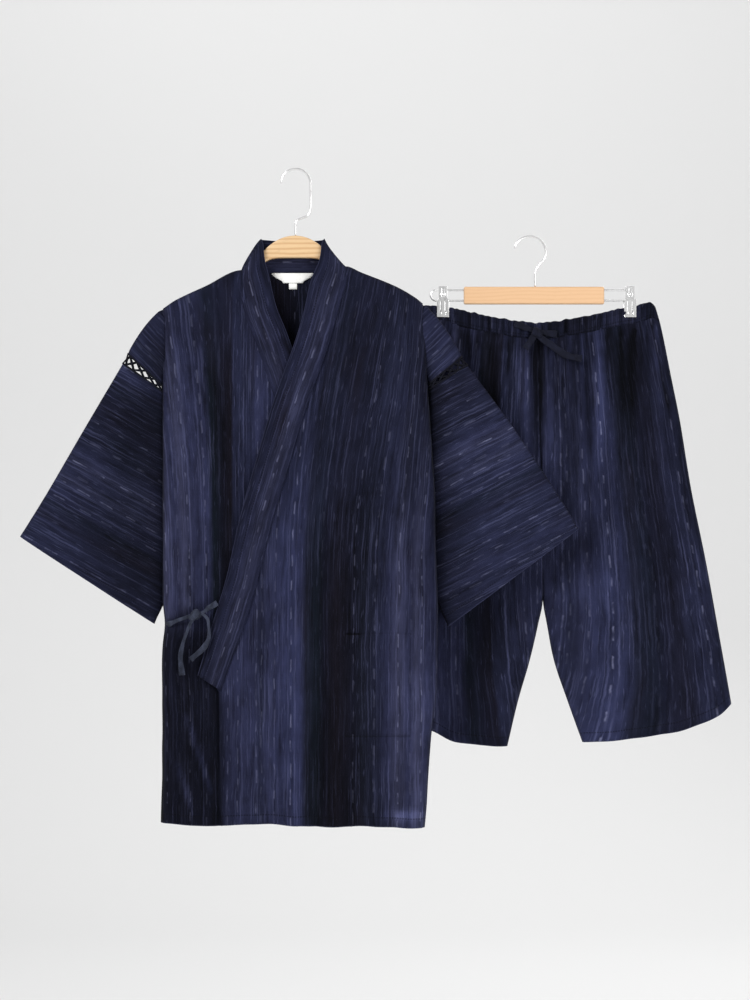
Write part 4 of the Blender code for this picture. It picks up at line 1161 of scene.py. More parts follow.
def pocket_patch():
    """The patch follows the front, a little proud of it, and gapes at its mouth, which is painted dark as
    its shadow.
    """
    layout = Layout()
    tall = POCKET_Z[0] - POCKET_Z[1]
    for i in range(41):
        down = (i / 40) ** 2
        z = mix(*POCKET_Z, down)
        layout.line()
        for j in range(25):
            share = j / 24
            x = mix(*POCKET_X, share)
            point = body_point(x, z, -1)
            out = relief(x, z, FRONT_LEFT_CREASES, FRONT_SEED)
            gape = 0.0030 * math.exp(-((share - 0.11) / 0.09) ** 2) * (1 - ease(down * 6))
            gape += 0.0003 * (1 - ease(down * 5))
            sewn = ease(min(share, 1 - share, 1 - down) * 14)
            point.y -= out + 0.0001 + 0.0006 * sewn + gape
            # painted shadow: the open part of the mouth is painted dark, and creases get the front's painted
            # shade
            open_part = 0.05 + 0.87 * ease((0.27 - share) / 0.06) * ease(share / 0.04)
            mouth_shadow = math.exp(-(down * tall / 0.0022) ** 4) * open_part
            light, contrast = chest_dye_and_highlight(x, z)
            layout.put(point, (x - fan(x, z) + FRONT_SHIFT, z), (0.5, x + z),
                       (light * (1 + 110 * out) * (1 - mouth_shadow), contrast))
    return shell("pocket", layout, STRIPED, 0.0006)


finish_piece(pocket_patch(), "jacket_pocket", held="laid", rests_on=["front_left"])

# %% [markdown]
# The label is drawn by its height and half width, row by row. The tab hangs from its lower edge, and
# both lie on the back's inner side, where the frame has them.

# %% Label
def label_piece(name, rows, node):
    """rows are (z, half width); the piece lies just in front of the back's inner side."""
    layout = Layout()
    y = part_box(node)[0][1]
    for z, half in rows:
        layout.line()
        for j in range(11):
            x = -0.003 + half * (2 * j / 10 - 1)
            layout.put((x, y, z), (x, z))
    return shell(name, layout, LABEL_WHITE, 0.0006)


label = label_piece("label", (
    (-0.1385, 0.0290), (-0.1405, 0.0285), (-0.1430, 0.0262), (-0.1455, 0.0222), (-0.1480, 0.0172),
    (-0.1500, 0.0143), (-0.1520, 0.0135),
), "neck_label")
tab = label_piece("size_tab", ((-0.1523, 0.0055), (-0.1560, 0.0055), (-0.1603, 0.0055)), "neck_size_tab")
finish_piece(label, "neck_label", slot="label_cloth", held="laid", rests_on=["back"])
finish_piece(tab, "neck_size_tab", slot="label_cloth")
tab.parent = label

# %% [markdown]
# # Ties
# Two narrow strips hold the jacket shut: one from the side seam and one from the collar's edge.
# They cross in a single pulled knot and hang down as two free tails. Each is one strip from end to
# end, so each is swept along one path through the knot, narrow there and wider towards its end.

# %% Flat strips
def strip_mesh(name, path, width_at, thick, material):
    """A soft flat strip: an oval section with a shallow fold along it, carried down the path."""
    mesh = bmesh.new()
    rings = []
    count = 12
    for i, place in enumerate(path):
        t = i / (len(path) - 1)
        along = heading(path, i)
        across = Vector((-along.z, 0, along.x)).normalized()
        out = along.cross(across).normalized()
        half = width_at(t) / 2 * (1 + 0.30 * noise.noise(Vector((i * 0.19, len(path), 2.0))))
        stray = 0.0012 * noise.noise(Vector((i * 0.17, len(path), 9.0))) * math.sin(math.pi * t)
        place = place + across * stray
        ring = []
        for k in range(count):
            w, h = math.cos(math.tau * k / count), math.sin(math.tau * k / count)
            crumple = 0.0004 * noise.noise(Vector((w * 2 + 5, i * 0.45, len(path))))
            rise = math.copysign(abs(h) ** 0.7, h) * thick / 2 + 0.10 * half * (w * w) + crumple
            ring.append(mesh.verts.new(place + across * (half * w) + out * rise))
        rings.append(ring)
    skin(mesh, rings)
    bmesh.ops.recalc_face_normals(mesh, faces=mesh.faces)
    return object_from(mesh, name, material)


def strip(name, route, width_at, width, thick, material, slot, nodes):
    """One tie or end of drawstring, from where it comes out to its free end."""
    path = smooth_path(route, 7)
    made = strip_mesh(name, path, width_at, thick, material)
    finish_piece(made, *nodes, slot=slot)
    length_of(path)
    print(name, round(length_of(path) * 1000), "mm")


# %% Pulled knots
def join(parts, name, material):
    """One object of several, with one finish."""
    select_none()
    for part in parts:
        part.select_set(True)
    bpy.context.view_layer.objects.active = parts[0]
    bpy.ops.object.join()
    made = parts[0]
    made.name = name
    made.data.materials.clear()
    made.data.materials.append(material)
    return made


def pulled_knot(name, centre, turns, material):
    """Turns of strip drawn tight. Each is a torus squeezed to its half sizes: along its own axle,
    which is then turned to its angle in the knot's face, across it, and in depth."""
    major, minor = 0.65, 0.35
    made = []
    for angle, (along, across, deep), (dx, dy, dz) in turns:
        select_none()
        bpy.ops.mesh.primitive_torus_add(
            location=(0, 0, 0), rotation=(0, math.radians(90), 0),
            major_radius=major, minor_radius=minor, major_segments=28, minor_segments=14,
        )
        turn = bpy.context.object
        bpy.ops.object.transform_apply(location=False, rotation=True, scale=False)
        turn.scale = (along / minor, deep, across)
        bpy.ops.object.transform_apply(location=False, rotation=False, scale=True)
        bpy.ops.object.mode_set(mode="EDIT")
        bpy.ops.mesh.select_all(action="SELECT")
        bpy.ops.transform.rotate(value=math.radians(angle), orient_axis="Y", center_override=(0, 0, 0))
        bpy.ops.transform.translate(value=(centre[0] + dx, centre[1] + dy, centre[2] + dz))
        bpy.ops.object.mode_set(mode="OBJECT")
        for vertex in turn.data.vertices:
            place = Vector(vertex.co) - Vector(centre)
            vertex.co += place.normalized() * 0.0009 * noise.noise(place * 420 + Vector((angle, 0, 0)))
        made.append(turn)
    knot = join(made, name, material)
    knot.data.shade_smooth()
    return knot


# %% The ties
TIE_WIDTH = 0.0076
SIDE_TIE = (
    (-0.1725, -0.0100, -0.6140), (-0.1680, -0.0195, -0.6115), (-0.1600, -0.0245, -0.6085),
    (-0.1385, -0.0290, -0.6000), (-0.1310, -0.0296, -0.5990), (-0.1215, -0.0318, -0.5985),
    (-0.1145, -0.0335, -0.6080),
    (-0.1140, -0.0342, -0.6270), (-0.1200, -0.0342, -0.6420), (-0.1385, -0.0325, -0.6590),
)
COLLAR_TIE = (
    (-0.1030, -0.0300, -0.5830), (-0.1110, -0.0308, -0.5880), (-0.1215, -0.0304, -0.5950),
    (-0.1310, -0.0300, -0.5995), (-0.1370, -0.0300, -0.6070), (-0.1455, -0.0300, -0.6270),
    (-0.1520, -0.0290, -0.6530), (-0.1500, -0.0275, -0.6800),
)
TIE_KNOT = (-0.1310, -0.0300, -0.5985)
# each turn's angle, half sizes along, across and deep, and place beside the knot's middle
TIE_TURNS = (
    (35, (0.0055, 0.0068, 0.0052), (0.0, 0.0, 0.0)),
    (-50, (0.0042, 0.0070, 0.0040), (-0.0035, -0.0012, -0.0030)),
)


def tie_width(t):
    """Wide at the seam, drawn in at the knot, rolled thin down the tail, open again at the free end."""
    return TIE_WIDTH * (1.0 - 0.45 * ease((t - 0.10) / 0.22) + 0.50 * ease((t - 0.72) / 0.24))


knot = pulled_knot("tie_knot", TIE_KNOT, TIE_TURNS, TIE_CLOTH)
finish_piece(knot, "jacket_tie_knot", slot="tie_cloth")
for name, route, nodes in (
    ("tie_side", SIDE_TIE, ("jacket_tie_side", "jacket_tie_tail_collar")),
    ("tie_collar", COLLAR_TIE, ("jacket_tie_collar", "jacket_tie_tail_side")),
):
    strip(name, route, tie_width, TIE_WIDTH, 0.0016, TIE_CLOTH, "tie_cloth", nodes)

# %% [markdown]
# # Trousers
# The trousers hang behind the jacket's plane from two clips. Each leg has a front and a back panel,
# gathered into a casing that the drawstring runs through. The gathers are many small upright
# puckers, uneven in width, deepest at the casing and gone a hand's width below it.

# %% Trouser outline
TROUSER_Y = 0.050
CASING = 0.022
CROTCH = -0.581
# height, wearer's right edge, wearer's left edge
TROUSERS = (
    (-0.174, 0.1700, 0.4906), (-0.208, 0.1630, 0.5002), (-0.2755, 0.1500, 0.5139), (-0.337, 0.1380, 0.5262),
    (-0.429, 0.1220, 0.5413), (-0.5305, 0.1080, 0.5619), (-0.629, 0.0980, 0.5797), (-0.730, 0.0880, 0.5975),
    (-0.790, 0.0850, 0.6060),
)
# height, the right leg's inner edge, the left leg's
INSEAM = (
    (-0.1900, 0.3310, 0.3310), (-0.4500, 0.3355, 0.3355), (CROTCH, 0.3380, 0.3380),
    (-0.6169, 0.3315, 0.3438), (-0.6663, 0.3199, 0.3535), (-0.7211, 0.3041, 0.3720),
    (-0.7850, 0.2890, 0.3950),
)
# share across, height of the top, half thickness
WAIST = (
    (0.000, -0.1780, 0.0000), (0.006, -0.1781, 0.0016), (0.045, -0.1790, 0.0020), (0.075, -0.1796, 0.0018),
    (0.137, -0.1825, 0.0018), (0.170, -0.1845, 0.0040), (0.300, -0.1940, 0.0070), (0.500, -0.2028, 0.0090),
    (0.700, -0.1935, 0.0070), (0.830, -0.1845, 0.0040), (0.855, -0.1830, 0.0018), (0.917, -0.1795, 0.0018),
    (0.955, -0.1756, 0.0020), (0.980, -0.1744, 0.0018), (0.994, -0.1778, 0.0014), (1.000, -0.1810, 0.0000),
)
# share out from the middle, height
HEMS = {
    "right": ((0.00, -0.7828), (0.12, -0.7814), (0.35, -0.7765), (0.51, -0.7620), (0.74, -0.7450),
              (0.90, -0.7320), (1.00, -0.7230)),
    "left": ((0.00, -0.7773), (0.13, -0.7760), (0.43, -0.7684), (0.70, -0.7581), (0.90, -0.7403),
             (1.00, -0.7245)),
}
LEG_HALF, LEG_RADIUS, HIP_FILL = 0.013, 0.025, 0.120


def trouser_point(across, z, side, inner=None):
    """A point on the trousers: across is 0 at the wearer's right edge and 1 at the left."""
    right, left = read(TROUSERS, z, 1), read(TROUSERS, z, 2)
    x = mix(right, left, across)
    below = read(WAIST, across) - z
    hips = LEG_HALF * rounding(min(x - right, left - x), LEG_RADIUS)
    if inner is not None:
        hips *= rounding(abs(x - inner) + max(z - CROTCH, 0.0), LEG_RADIUS)
    half = mix(max(read(WAIST, across, 2), 0.0), hips, ease((below - CASING) / HIP_FILL))
    return Vector((x, TROUSER_Y + side * half, z))


def puckers(x, below, side):
    """The gathers: how far the cloth stands out, this far below the waist's top."""
    warped = x + 0.006 * noise.noise(Vector((x / 0.021, side * 3.0, 0.5)))
    ripple = 0.6 * math.sin(math.tau * warped / 0.0095) + 0.6 * math.sin(math.tau * warped / 0.0148 + side)
    uneven = 0.55 + 0.9 * abs(noise.noise(Vector((x / 0.018, 3.0, side))))
    drift = x + 0.03 * (below - 0.02) * math.sin(x * 46)
    slow = noise.noise(Vector((drift / 0.017, below / 0.16, side * 2.0)))
    gathers = 0.0019 * uneven * ripple * math.exp(-max(below - CASING, 0.0) / 0.055)
    return gathers + 0.0062 * slow * ease(below / 0.03) * math.exp(-max(below - 0.06, 0) / 0.13)


print("trousers:", round((read(TROUSERS, -0.2, 2) - read(TROUSERS, -0.2, 1)) * 1000), "mm across the waist")

# %% [markdown]
# Pulls fan out from the point where the legs part, and short ones hang from the clips and the
# gathers. The cloth is painted darker at the hips, as shade where the gathers shade each other and
# round the drawstring, and as a painted shadow where the jacket hangs before the right leg. A real
# side pocket is a slit in the side seam, which only shows as a dark line, so that line is painted in
# as its shadow.

# %% Creases, dye and painted shade of the legs
TROUSER_CREASES = (
    (0.265, -0.240, 0.262, -0.420, 0.009, -0.0028), (0.282, -0.250, 0.285, -0.360, 0.007, 0.0026),
    (0.345, -0.260, 0.352, -0.470, 0.008, 0.0026), (0.372, -0.250, 0.385, -0.420, 0.010, -0.0024),
    (0.405, -0.240, 0.420, -0.380, 0.010, 0.0022), (0.440, -0.240, 0.470, -0.430, 0.012, -0.0024),
    (0.470, -0.240, 0.505, -0.430, 0.010, 0.0022), (0.338, -0.560, 0.420, -0.470, 0.016, -0.0026),
    (0.345, -0.580, 0.440, -0.560, 0.018, 0.0024), (0.330, -0.560, 0.250, -0.480, 0.016, -0.0024),
    (0.380, -0.600, 0.400, -0.760, 0.014, -0.0020), (0.430, -0.560, 0.470, -0.750, 0.016, 0.0024),
    (0.500, -0.460, 0.545, -0.700, 0.014, -0.0020), (0.300, -0.620, 0.280, -0.760, 0.012, 0.0022),
    (0.245, -0.600, 0.225, -0.760, 0.014, -0.0022), (0.190, -0.420, 0.165, -0.700, 0.015, 0.0022),
    (0.140, -0.460, 0.120, -0.700, 0.012, -0.0018),
    (0.234, -0.215, 0.238, -0.252, 0.004, -0.0024), (0.262, -0.222, 0.267, -0.264, 0.004, -0.0026),
    (0.300, -0.245, 0.281, -0.312, 0.0035, 0.0026), (0.291, -0.262, 0.272, -0.318, 0.004, -0.0026),
    (0.321, -0.225, 0.327, -0.282, 0.005, -0.0026), (0.355, -0.265, 0.359, -0.322, 0.005, -0.0022),
    (0.371, -0.262, 0.378, -0.330, 0.004, 0.0022),
)


def leg_dye_and_painted_shade(x, z, word, out, side):
    """Painted shade at the hips, under the gathers and round the drawstring's knot, and a painted shadow of
    the jacket down the right leg; lighter inside the left one and on its outer side. On the front, a
    painted shadow line shows where the side pocket opens."""
    # painted shade: darker at the hips under the gathers and round the drawstring's knot
    hips = mix(0.70, 1.0, ease((-0.28 - z) / 0.16))
    hips *= 1 - 0.14 * ease((z + 0.31) / 0.05) * ease((0.31 - x) / 0.03)
    hips *= 1 - 0.22 * math.exp(-((x - 0.345) / 0.060) ** 2 - ((z + 0.225) / 0.028) ** 2)
    # painted shadow of the jacket down the right leg
    if word == "right":
        return hips * mix(1.0, 0.85, ease((-0.50 - z) / 0.10)), 0.75
    low = ease((-0.56 - z) / 0.10)
    inside = (1 - ease((out - 0.10) / 0.35)) * low
    outside = ease((out - 0.74) / 0.12)
    # painted shadow in the side pocket's slit
    mouth_shadow = math.exp(-((out - 0.925) / 0.016) ** 2) * ease((-0.196 - z) / 0.01) * ease((z + 0.33) / 0.02)
    shown = hips * (1 + 0.35 * inside + 0.25 * outside * ease((-0.40 - z) / 0.10))
    return shown * (1 - (0.6 * mouth_shadow if side < 0 else 0.0)), mix(0.60, 0.05, outside)


# %% Leg panels
def leg_panel(word, side):
    """The front or the back of one leg, from the middle seam out to the side seam."""
    outward, edge = (-1, 1) if word == "right" else (1, 2)
    layout = Layout()
    columns, rows = 64, 110
    for c in range(columns + 1):
        out = c / columns
        out = out - 0.045 * math.sin(math.tau * out) if 0 < out < 1 else out
        top = read(WAIST, 0.5 + outward * out / 2) - CASING + 0.004
        hem = read(HEMS[word], out) + 0.0016 * noise.noise(Vector((out * 6, side + edge * 3.0, 0)))
        layout.line()
        for i in range(rows + 1):
            z = mix(top, hem, i / rows)
            right, left = read(TROUSERS, z, 1), read(TROUSERS, z, 2)
            inner, outer = read(INSEAM, z, edge), (right, left)[edge - 1]
            x = mix(inner, outer, out)
            across = (x - right) / (left - right)
            below = read(WAIST, across) - z
            seamed = abs(x - inner) + max(z - CROTCH, 0.0)
            full = rounding(min(x - right, left - x), 0.012) * rounding(seamed + 0.002, 0.014)
            gathers = puckers(x, below, side) * mix(0.45, 1.0, ease((below - CASING) / 0.012))
            shown = gathers + creased(x, z, TROUSER_CREASES) * (1 if side < 0 else 0.8)
            shown += sway(x, z, 12.0 + side, 0.05, 0.16, 0.0018)
            seam = 0.0010 * math.exp(-((x - inner) / 0.0016) ** 2) if z > CROTCH else 0.0
            point = trouser_point(across, z, side, inner)
            point.y += side * (shown * full - seam)
            lean = (outer - read(TROUSERS, -0.2, edge)) * out
            light, contrast = leg_dye_and_painted_shade(x, z, word, out, side)
            # painted shade: lighter on the crests of gathers and creases, darker in their troughs and in the
            # seam's groove, mottled near the waist
            gather_shade_mottle = noise.noise(Vector((x / 0.0070, z / 0.015, 5.0)))
            gather_shade_mottle *= math.exp(-max(below - 0.03, 0.0) / 0.05)
            deep = (1 + 330 * gathers + 150 * (shown - gathers) - 400 * seam) * (1 + 0.7 * gather_shade_mottle)
            tone_and_shade = light * min(max(deep, 0.22), 2.6)
            layout.put(point, (x - lean + 0.062, z), (z - hem, x), (tone_and_shade, contrast))
    return shell(f"leg_{'front' if side < 0 else 'back'}_{word}", layout, STRIPED, outward=(0, side, 0))


for word in ("right", "left"):
    for side, face in ((-1, "front"), (1, "back")):
        panel = leg_panel(word, side)
        finish_piece(panel, f"trouser_{face}_{word}", held="gathered", rests_on=["waist_casing"])


# %% [markdown]
# The casing is a folded band with a row of stitches near its top and one at its foot. The cord
# between them gathers it, so it is rounder in the middle and nipped at the upper row, and the clips
# press it flat.

# %% The waist casing
CASING_DEPTHS = (0.0, 0.0006, 0.002, 0.0045, 0.0075, 0.0105, 0.0135, 0.0165, 0.0195, 0.0215, 0.0225)
UPPER_ROW, LOWER_ROW = 0.0035, 0.0195  # the two rows of stitches, below the top
CLIP_AT = (0.2012, 0.4577)


def waist_casing():
    """A ring round the waist. Its top stands up in a small frill above the row that holds the cord."""
    layout = Layout()
    count = 190
    for depth in CASING_DEPTHS:
        round_off = math.sin(math.pi * min(max(depth / CASING_DEPTHS[-1], 0.0), 1.0)) ** 0.4
        nip = 0.0010 * math.exp(-((depth - UPPER_ROW) / 0.0014) ** 2)
        sewn = abs(depth - UPPER_ROW) + 0.0085 if depth < 0.01 else abs(LOWER_ROW - depth) + 0.0105
        layout.line()
        for i in range(2 * count + 1):
            side = -1 if i <= count else 1
            across = (i if i <= count else 2 * count - i) / count
            frill = 0.0022 * noise.noise(Vector((across * 40, side * 1.0, 2.0)))
            z = read(WAIST, across) - depth + frill * (1 - depth / CASING)
            point = trouser_point(across, z, side)
            x = point.x
            held = 1 - 0.8 * max(math.exp(-((x - clip) / 0.010) ** 2) for clip in CLIP_AT)
            full = rounding(min(across, 1 - across) * 0.32, 0.006)
            ripple = puckers(x, 0.0, side) * (1.05 * round_off + 0.45)
            point.y += side * (0.0024 * round_off - nip + ripple) * full * held
            # painted shade: lighter on the puckers' crests, darker in their troughs and where the upper row
            # nips the band
            light = 0.60 * min(max(1 + 220 * ripple * held, 0.3), 2.2) * (1 - 0.4 * nip / 0.001)
            layout.put(point, (x * 1.35 + 0.02, z), (sewn, x), (light, 0.5))
    return shell("waist_casing", layout, STRIPED, outward=(0, -1, 0), ring=True)


finish_piece(waist_casing(), "trouser_waist_casing", held="gathered",
             rests_on=["trouser_clip_left", "trouser_clip_right"])

# %% [markdown]
# The drawstring comes out of the casing in two places, crosses in one pulled knot and hangs in a
# long and a short tail. It is made as the ties are, of darker cloth.

# %% Drawstring
STRING_WIDTH = 0.0090
STRING_RIGHT = (
    (0.2985, 0.0385, -0.2050), (0.3100, 0.0360, -0.2085), (0.3195, 0.0345, -0.2130),
    (0.3275, 0.0340, -0.2170), (0.3345, 0.0325, -0.2245), (0.3500, 0.0320, -0.2355),
    (0.3690, 0.0320, -0.2480), (0.3900, 0.0320, -0.2530),
)
STRING_LEFT = (
    (0.3565, 0.0385, -0.2190), (0.3460, 0.0365, -0.2180), (0.3355, 0.0345, -0.2165),
    (0.3275, 0.0335, -0.2175), (0.3235, 0.0335, -0.2235), (0.3190, 0.0330, -0.2310),
    (0.3130, 0.0325, -0.2390),
)
STRING_KNOT = (0.3275, 0.0335, -0.2165)
STRING_TURNS = (
    (-20, (0.0052, 0.0066, 0.0048), (0.0, 0.0, 0.0)),
    (60, (0.0040, 0.0062, 0.0040), (0.0030, -0.0010, -0.0025)),
)


def string_width(t):
    return STRING_WIDTH * (1.0 - 0.35 * math.exp(-((t - 0.4) / 0.16) ** 2))


string_knot = pulled_knot("string_knot", STRING_KNOT, STRING_TURNS, STRING_CLOTH)
finish_piece(string_knot, "drawstring_knot", slot="drawstring_cloth")
for name, route, nodes in (
    ("string_right", STRING_RIGHT, ("drawstring_right", "drawstring_tail_left")),
    ("string_left", STRING_LEFT, ("drawstring_left", "drawstring_tail_right")),
):
    strip(name, route, string_width, STRING_WIDTH, 0.0018, STRING_CLOTH, "drawstring_cloth", nodes)

# %% [markdown]
# # Hangers
# The jacket's hanger is a flat piece of pine with a domed middle, and a wire hook screwed into it.
# It starts as a box. Bisect cuts it across at the places where its outline turns, each cut's edges
# are moved to their height, and a bevel and a subdivision round it.

# %% Wooden hanger
# distance from the middle, top, bottom, half thickness
HANGER = (
    (0.000, -0.0880, -0.1190, 0.0060), (0.014, -0.0900, -0.1190, 0.0060), (0.027, -0.0960, -0.1195, 0.0060),
    (0.040, -0.1060, -0.1225, 0.0060), (0.055, -0.1230, -0.1400, 0.0055), (0.072, -0.1430, -0.1610, 0.0055),
    (0.1215, -0.1600, -0.1790, 0.0060), (0.160, -0.1785, -0.1960, 0.0055), (0.170, -0.1850, -0.2000, 0.0035),
)


def block(name, low, high):
    """A box between two corners, left in edit mode with all of it selected."""
    select_none()
    bpy.ops.mesh.primitive_cube_add(size=1, location=(Vector(low) + Vector(high)) / 2)
    made = bpy.context.object
    made.name = name
    made.scale = Vector(high) - Vector(low)
    bpy.ops.object.transform_apply(location=True, rotation=True, scale=True)
    bpy.ops.object.mode_set(mode="EDIT")
    bpy.ops.mesh.select_all(action="SELECT")
    return made


def slice_at(place, normal):
    """A cut edge through all of the mesh."""
    bpy.ops.mesh.select_all(action="SELECT")
    bpy.ops.mesh.bisect(plane_co=place, plane_no=normal)


def wooden_hanger():
    hanger = block("hanger", (-0.170, -0.006, -0.119), (0.170, 0.006, -0.088))
    middle = -0.1035
    for row in HANGER[1:-1]:
        for x in (row[0], -row[0]):
            slice_at((x, 0, 0), (1, 0, 0))
    slice_at((0, 0, 0), (1, 0, 0))
    bpy.ops.object.mode_set(mode="OBJECT")
    for vertex in hanger.data.vertices:
        top, bottom, half = (read(HANGER, abs(vertex.co.x), column) for column in (1, 2, 3))
        vertex.co.z = top if vertex.co.z > middle else bottom
        vertex.co.y = math.copysign(half, vertex.co.y)
    bevel = hanger.modifiers.new("Edges", "BEVEL")
    bevel.width, bevel.segments, bevel.limit_method, bevel.angle_limit = 0.0022, 2, "ANGLE", math.radians(40)
    smooth = hanger.modifiers.new("Round", "SUBSURF")
    smooth.levels = smooth.render_levels = 2
    apply_modifiers(hanger)
    hanger.data.shade_smooth()
    hanger.data.materials.append(PALE_PINE)
    return hanger


hanger = wooden_hanger()
finish_piece(hanger, "jacket_hanger", slot="hanger_wood")
print("hanger", len(hanger.data.polygons), "faces")


# %% [markdown]
# A hook is one drawn wire: a bow that lies over the peg and a shank that is cranked back to the
# hanger's middle. A curve with a bevel would do. Here the wire is swept as the cords are, so that
# its ends can be rubbed round.

# %% Wire hooks
WIRE, ROD = 0.0015, 0.0014  # radii


def wire(name, path, radius, node):
    """A drawn wire with its ends rubbed round."""
    mesh = bmesh.new()
    round_cord(mesh, path, lambda t: radius * min(1.0, 0.55 + 18 * min(t, 1 - t)), 12)
    bmesh.ops.recalc_face_normals(mesh, faces=mesh.faces)
    finish_piece(object_from(mesh, name, CHROME), node, slot="hanger_steel")


def arc(centre_x, y, centre_z, radius, start, end, steps):
    """Points on an arc in the XZ plane, the angles in degrees from +X towards +Z."""
    angles = [math.radians(mix(start, end, i / steps)) for i in range(steps + 1)]
    return [Vector((centre_x + radius * math.cos(a), y, centre_z + radius * math.sin(a))) for a in angles]


HOOK_RADIUS = 0.020
hook_bow = arc(0.001, 0, 0.0015 - HOOK_RADIUS, HOOK_RADIUS, 178, 0, 40)
hook_shank = smooth_path((
    (0.0211, 0, -0.0185), (0.0212, 0, -0.046), (0.0185, 0, -0.0600), (0.0090, 0, -0.0650),
    (0.0020, 0, -0.0690), (0.0008, 0, -0.0780), (0.0008, 0, -0.0885),
), 8)
wire("hanger_hook", hook_bow + hook_shank[1:], WIRE, "jacket_hanger_hook")

CLIP_HOOK = 0.0219
clip_bow = arc(0.3205, TROUSER_Y, -0.0840 - CLIP_HOOK, CLIP_HOOK, 165, -25, 40)
clip_shank = smooth_path((
    clip_bow[-1], (0.3335, TROUSER_Y, -0.1225), (0.3280, TROUSER_Y, -0.1330), (0.3274, TROUSER_Y, -0.1535),
), 8)
wire("clip_hanger_hook", clip_bow + clip_shank[1:], WIRE, "trouser_hanger_hook")
print("hooks made")

# %% [markdown]
# The clip hanger is a straight pine bar with two chromed rods out of each end. On each pair sits a
# clip. The rods run on a little into the bar and behind the clip, so that no gap shows at an end.

# %% Bar and rods
def pine_bar():
    bar = block("bar", *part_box("trouser_hanger_bar"))
    bpy.ops.mesh.bevel(offset=0.0022, segments=4, profile=0.5, affect="EDGES")
    bpy.ops.object.mode_set(mode="OBJECT")
    bar.data.shade_smooth()
    weighted = bar.modifiers.new("Flat faces", "WEIGHTED_NORMAL")
    weighted.keep_sharp = True
    apply_modifiers(bar)
    bar.data.materials.append(WARM_PINE)
    return bar


finish_piece(pine_bar(), "trouser_hanger_bar", slot="bar_wood")
INTO_BAR = 0.012  # how far a rod runs on at both ends, into the bar and behind the clip
for word in ("left", "right"):
    for level in ("upper", "lower"):
        low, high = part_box(f"trouser_rod_{level}_{word}")
        height = (low.z + high.z) / 2
        start = Vector((low.x - INTO_BAR, TROUSER_Y, height))
        end = Vector((high.x + INTO_BAR, TROUSER_Y, height))
        rod = f"rod_{level}_{word}"
        wire(rod, [start.lerp(end, i / 6) for i in range(7)], ROD, f"trouser_{rod}")


def rod_loop():
    """The bend that joins the upper and the lower rod beyond the clip."""
    low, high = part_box("trouser_rod_loop")
    radius, height = (high.z - low.z) / 2 - ROD, (high.z + low.z) / 2
    bend = arc(low.x + radius + ROD, TROUSER_Y, height, radius, 90, 270, 20)
    ends = [Vector((high.x, TROUSER_Y, height + rise)) for rise in (radius, -radius)]
    wire("rod_loop", [ends[0], *bend, ends[1]], ROD, "trouser_rod_loop")


rod_loop()
print("bar and rods made")

# %% [markdown]
# A clip is two jaws of thin sheet, stiffened by pressed ribs and held together by a coil spring. A
# jaw starts as a box. Bisect draws the ribs' outlines on it, inset presses them in, and then the
# plate is pinched where it grips and made narrower above.

# %% Clips
SHEET = 0.0016  # a jaw's thickness
ACROSS_CUTS = (0.10, 0.16, 0.22, 0.50, 0.56, 0.60, 0.66, 0.94)
UPRIGHT_CUTS = (0.27, 0.34, 0.66, 0.73)


def pressed_jaw(low, high, side):
    """One jaw: a plate whose ribs, waist and upper panel are pressed in, pinched where it grips."""
    y = low.y if side < 0 else high.y - SHEET
    jaw = block("jaw", (low.x, y, low.z), (high.x, y + SHEET, high.z))
    for share in ACROSS_CUTS:
        slice_at((0, 0, mix(low.z, high.z, share)), (0, 0, 1))
    for share in UPRIGHT_CUTS:
        slice_at((mix(low.x, high.x, share), 0, 0), (1, 0, 0))
    bpy.ops.mesh.select_all(action="DESELECT")
    grown = bmesh.from_edit_mesh(jaw.data)
    for face in grown.faces:
        centre = face.calc_center_median()
        height = (centre.z - low.z) / (high.z - low.z)
        across = abs((centre.x - low.x) / (high.x - low.x) - 0.5)
        rib = 0.10 < height < 0.50 and 0.16 < across < 0.23
        waist = 0.56 < height < 0.60
        upper = 0.66 < height < 0.94 and across < 0.16
        face.select = face.normal.y * side > 0.9 and (rib or waist or upper)
    bmesh.update_edit_mesh(jaw.data)
    bpy.ops.mesh.inset(thickness=0.0002, depth=-0.0011)
    bpy.ops.object.mode_set(mode="OBJECT")
    for vertex in jaw.data.vertices:
        height = (vertex.co.z - low.z) / (high.z - low.z)
        pinch = 0.0012 * math.exp(-((height - 0.22) / 0.16) ** 2)
        vertex.co.y -= side * (pinch + 0.0016 * ease((height - 0.56) / 0.10))
        vertex.co.x = mix((low.x + high.x) / 2, vertex.co.x, 1.0 - 0.30 * ease((height - 0.54) / 0.08))
    bevel = jaw.modifiers.new("Edges", "BEVEL")
    bevel.width, bevel.segments = 0.0004, 2
    apply_modifiers(jaw)
    return jaw


# %% Two clips
def clip(word):
    """Two jaws and the turns of the spring between them."""
    low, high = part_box(f"trouser_clip_{word}")
    parts = [pressed_jaw(low, high, side) for side in (-1, 1)]
    middle = (low.x + high.x) / 2
    for x in (-0.0032, 0.0, 0.0032):
        select_none()
        bpy.ops.mesh.primitive_torus_add(
            location=(middle + x, TROUSER_Y, high.z - 0.0115), rotation=(0, math.radians(90), 0),
            major_radius=0.0030, minor_radius=0.0007, major_segments=20, minor_segments=8,
        )
        parts.append(bpy.context.object)
    made = join(parts, f"clip_{word}", PLATE)
    bpy.ops.object.transform_apply(location=True, rotation=True, scale=True)
    finish_piece(made, f"trouser_clip_{word}", slot="hanger_steel")
    print(made.name, len(made.data.polygons), "faces")


for word in ("left", "right"):
    clip(word)

# %% [markdown]
# # Studio
# A pale sweep far behind and below, so that a camera can also stand behind the set, one large soft
# light from the upper left and a weaker one from the right. A third lamp lights only the sweep, and
# a fourth one, behind the set, its far side. The world fills the rest, so that the dark cloth keeps
# some drawing in its shadows.

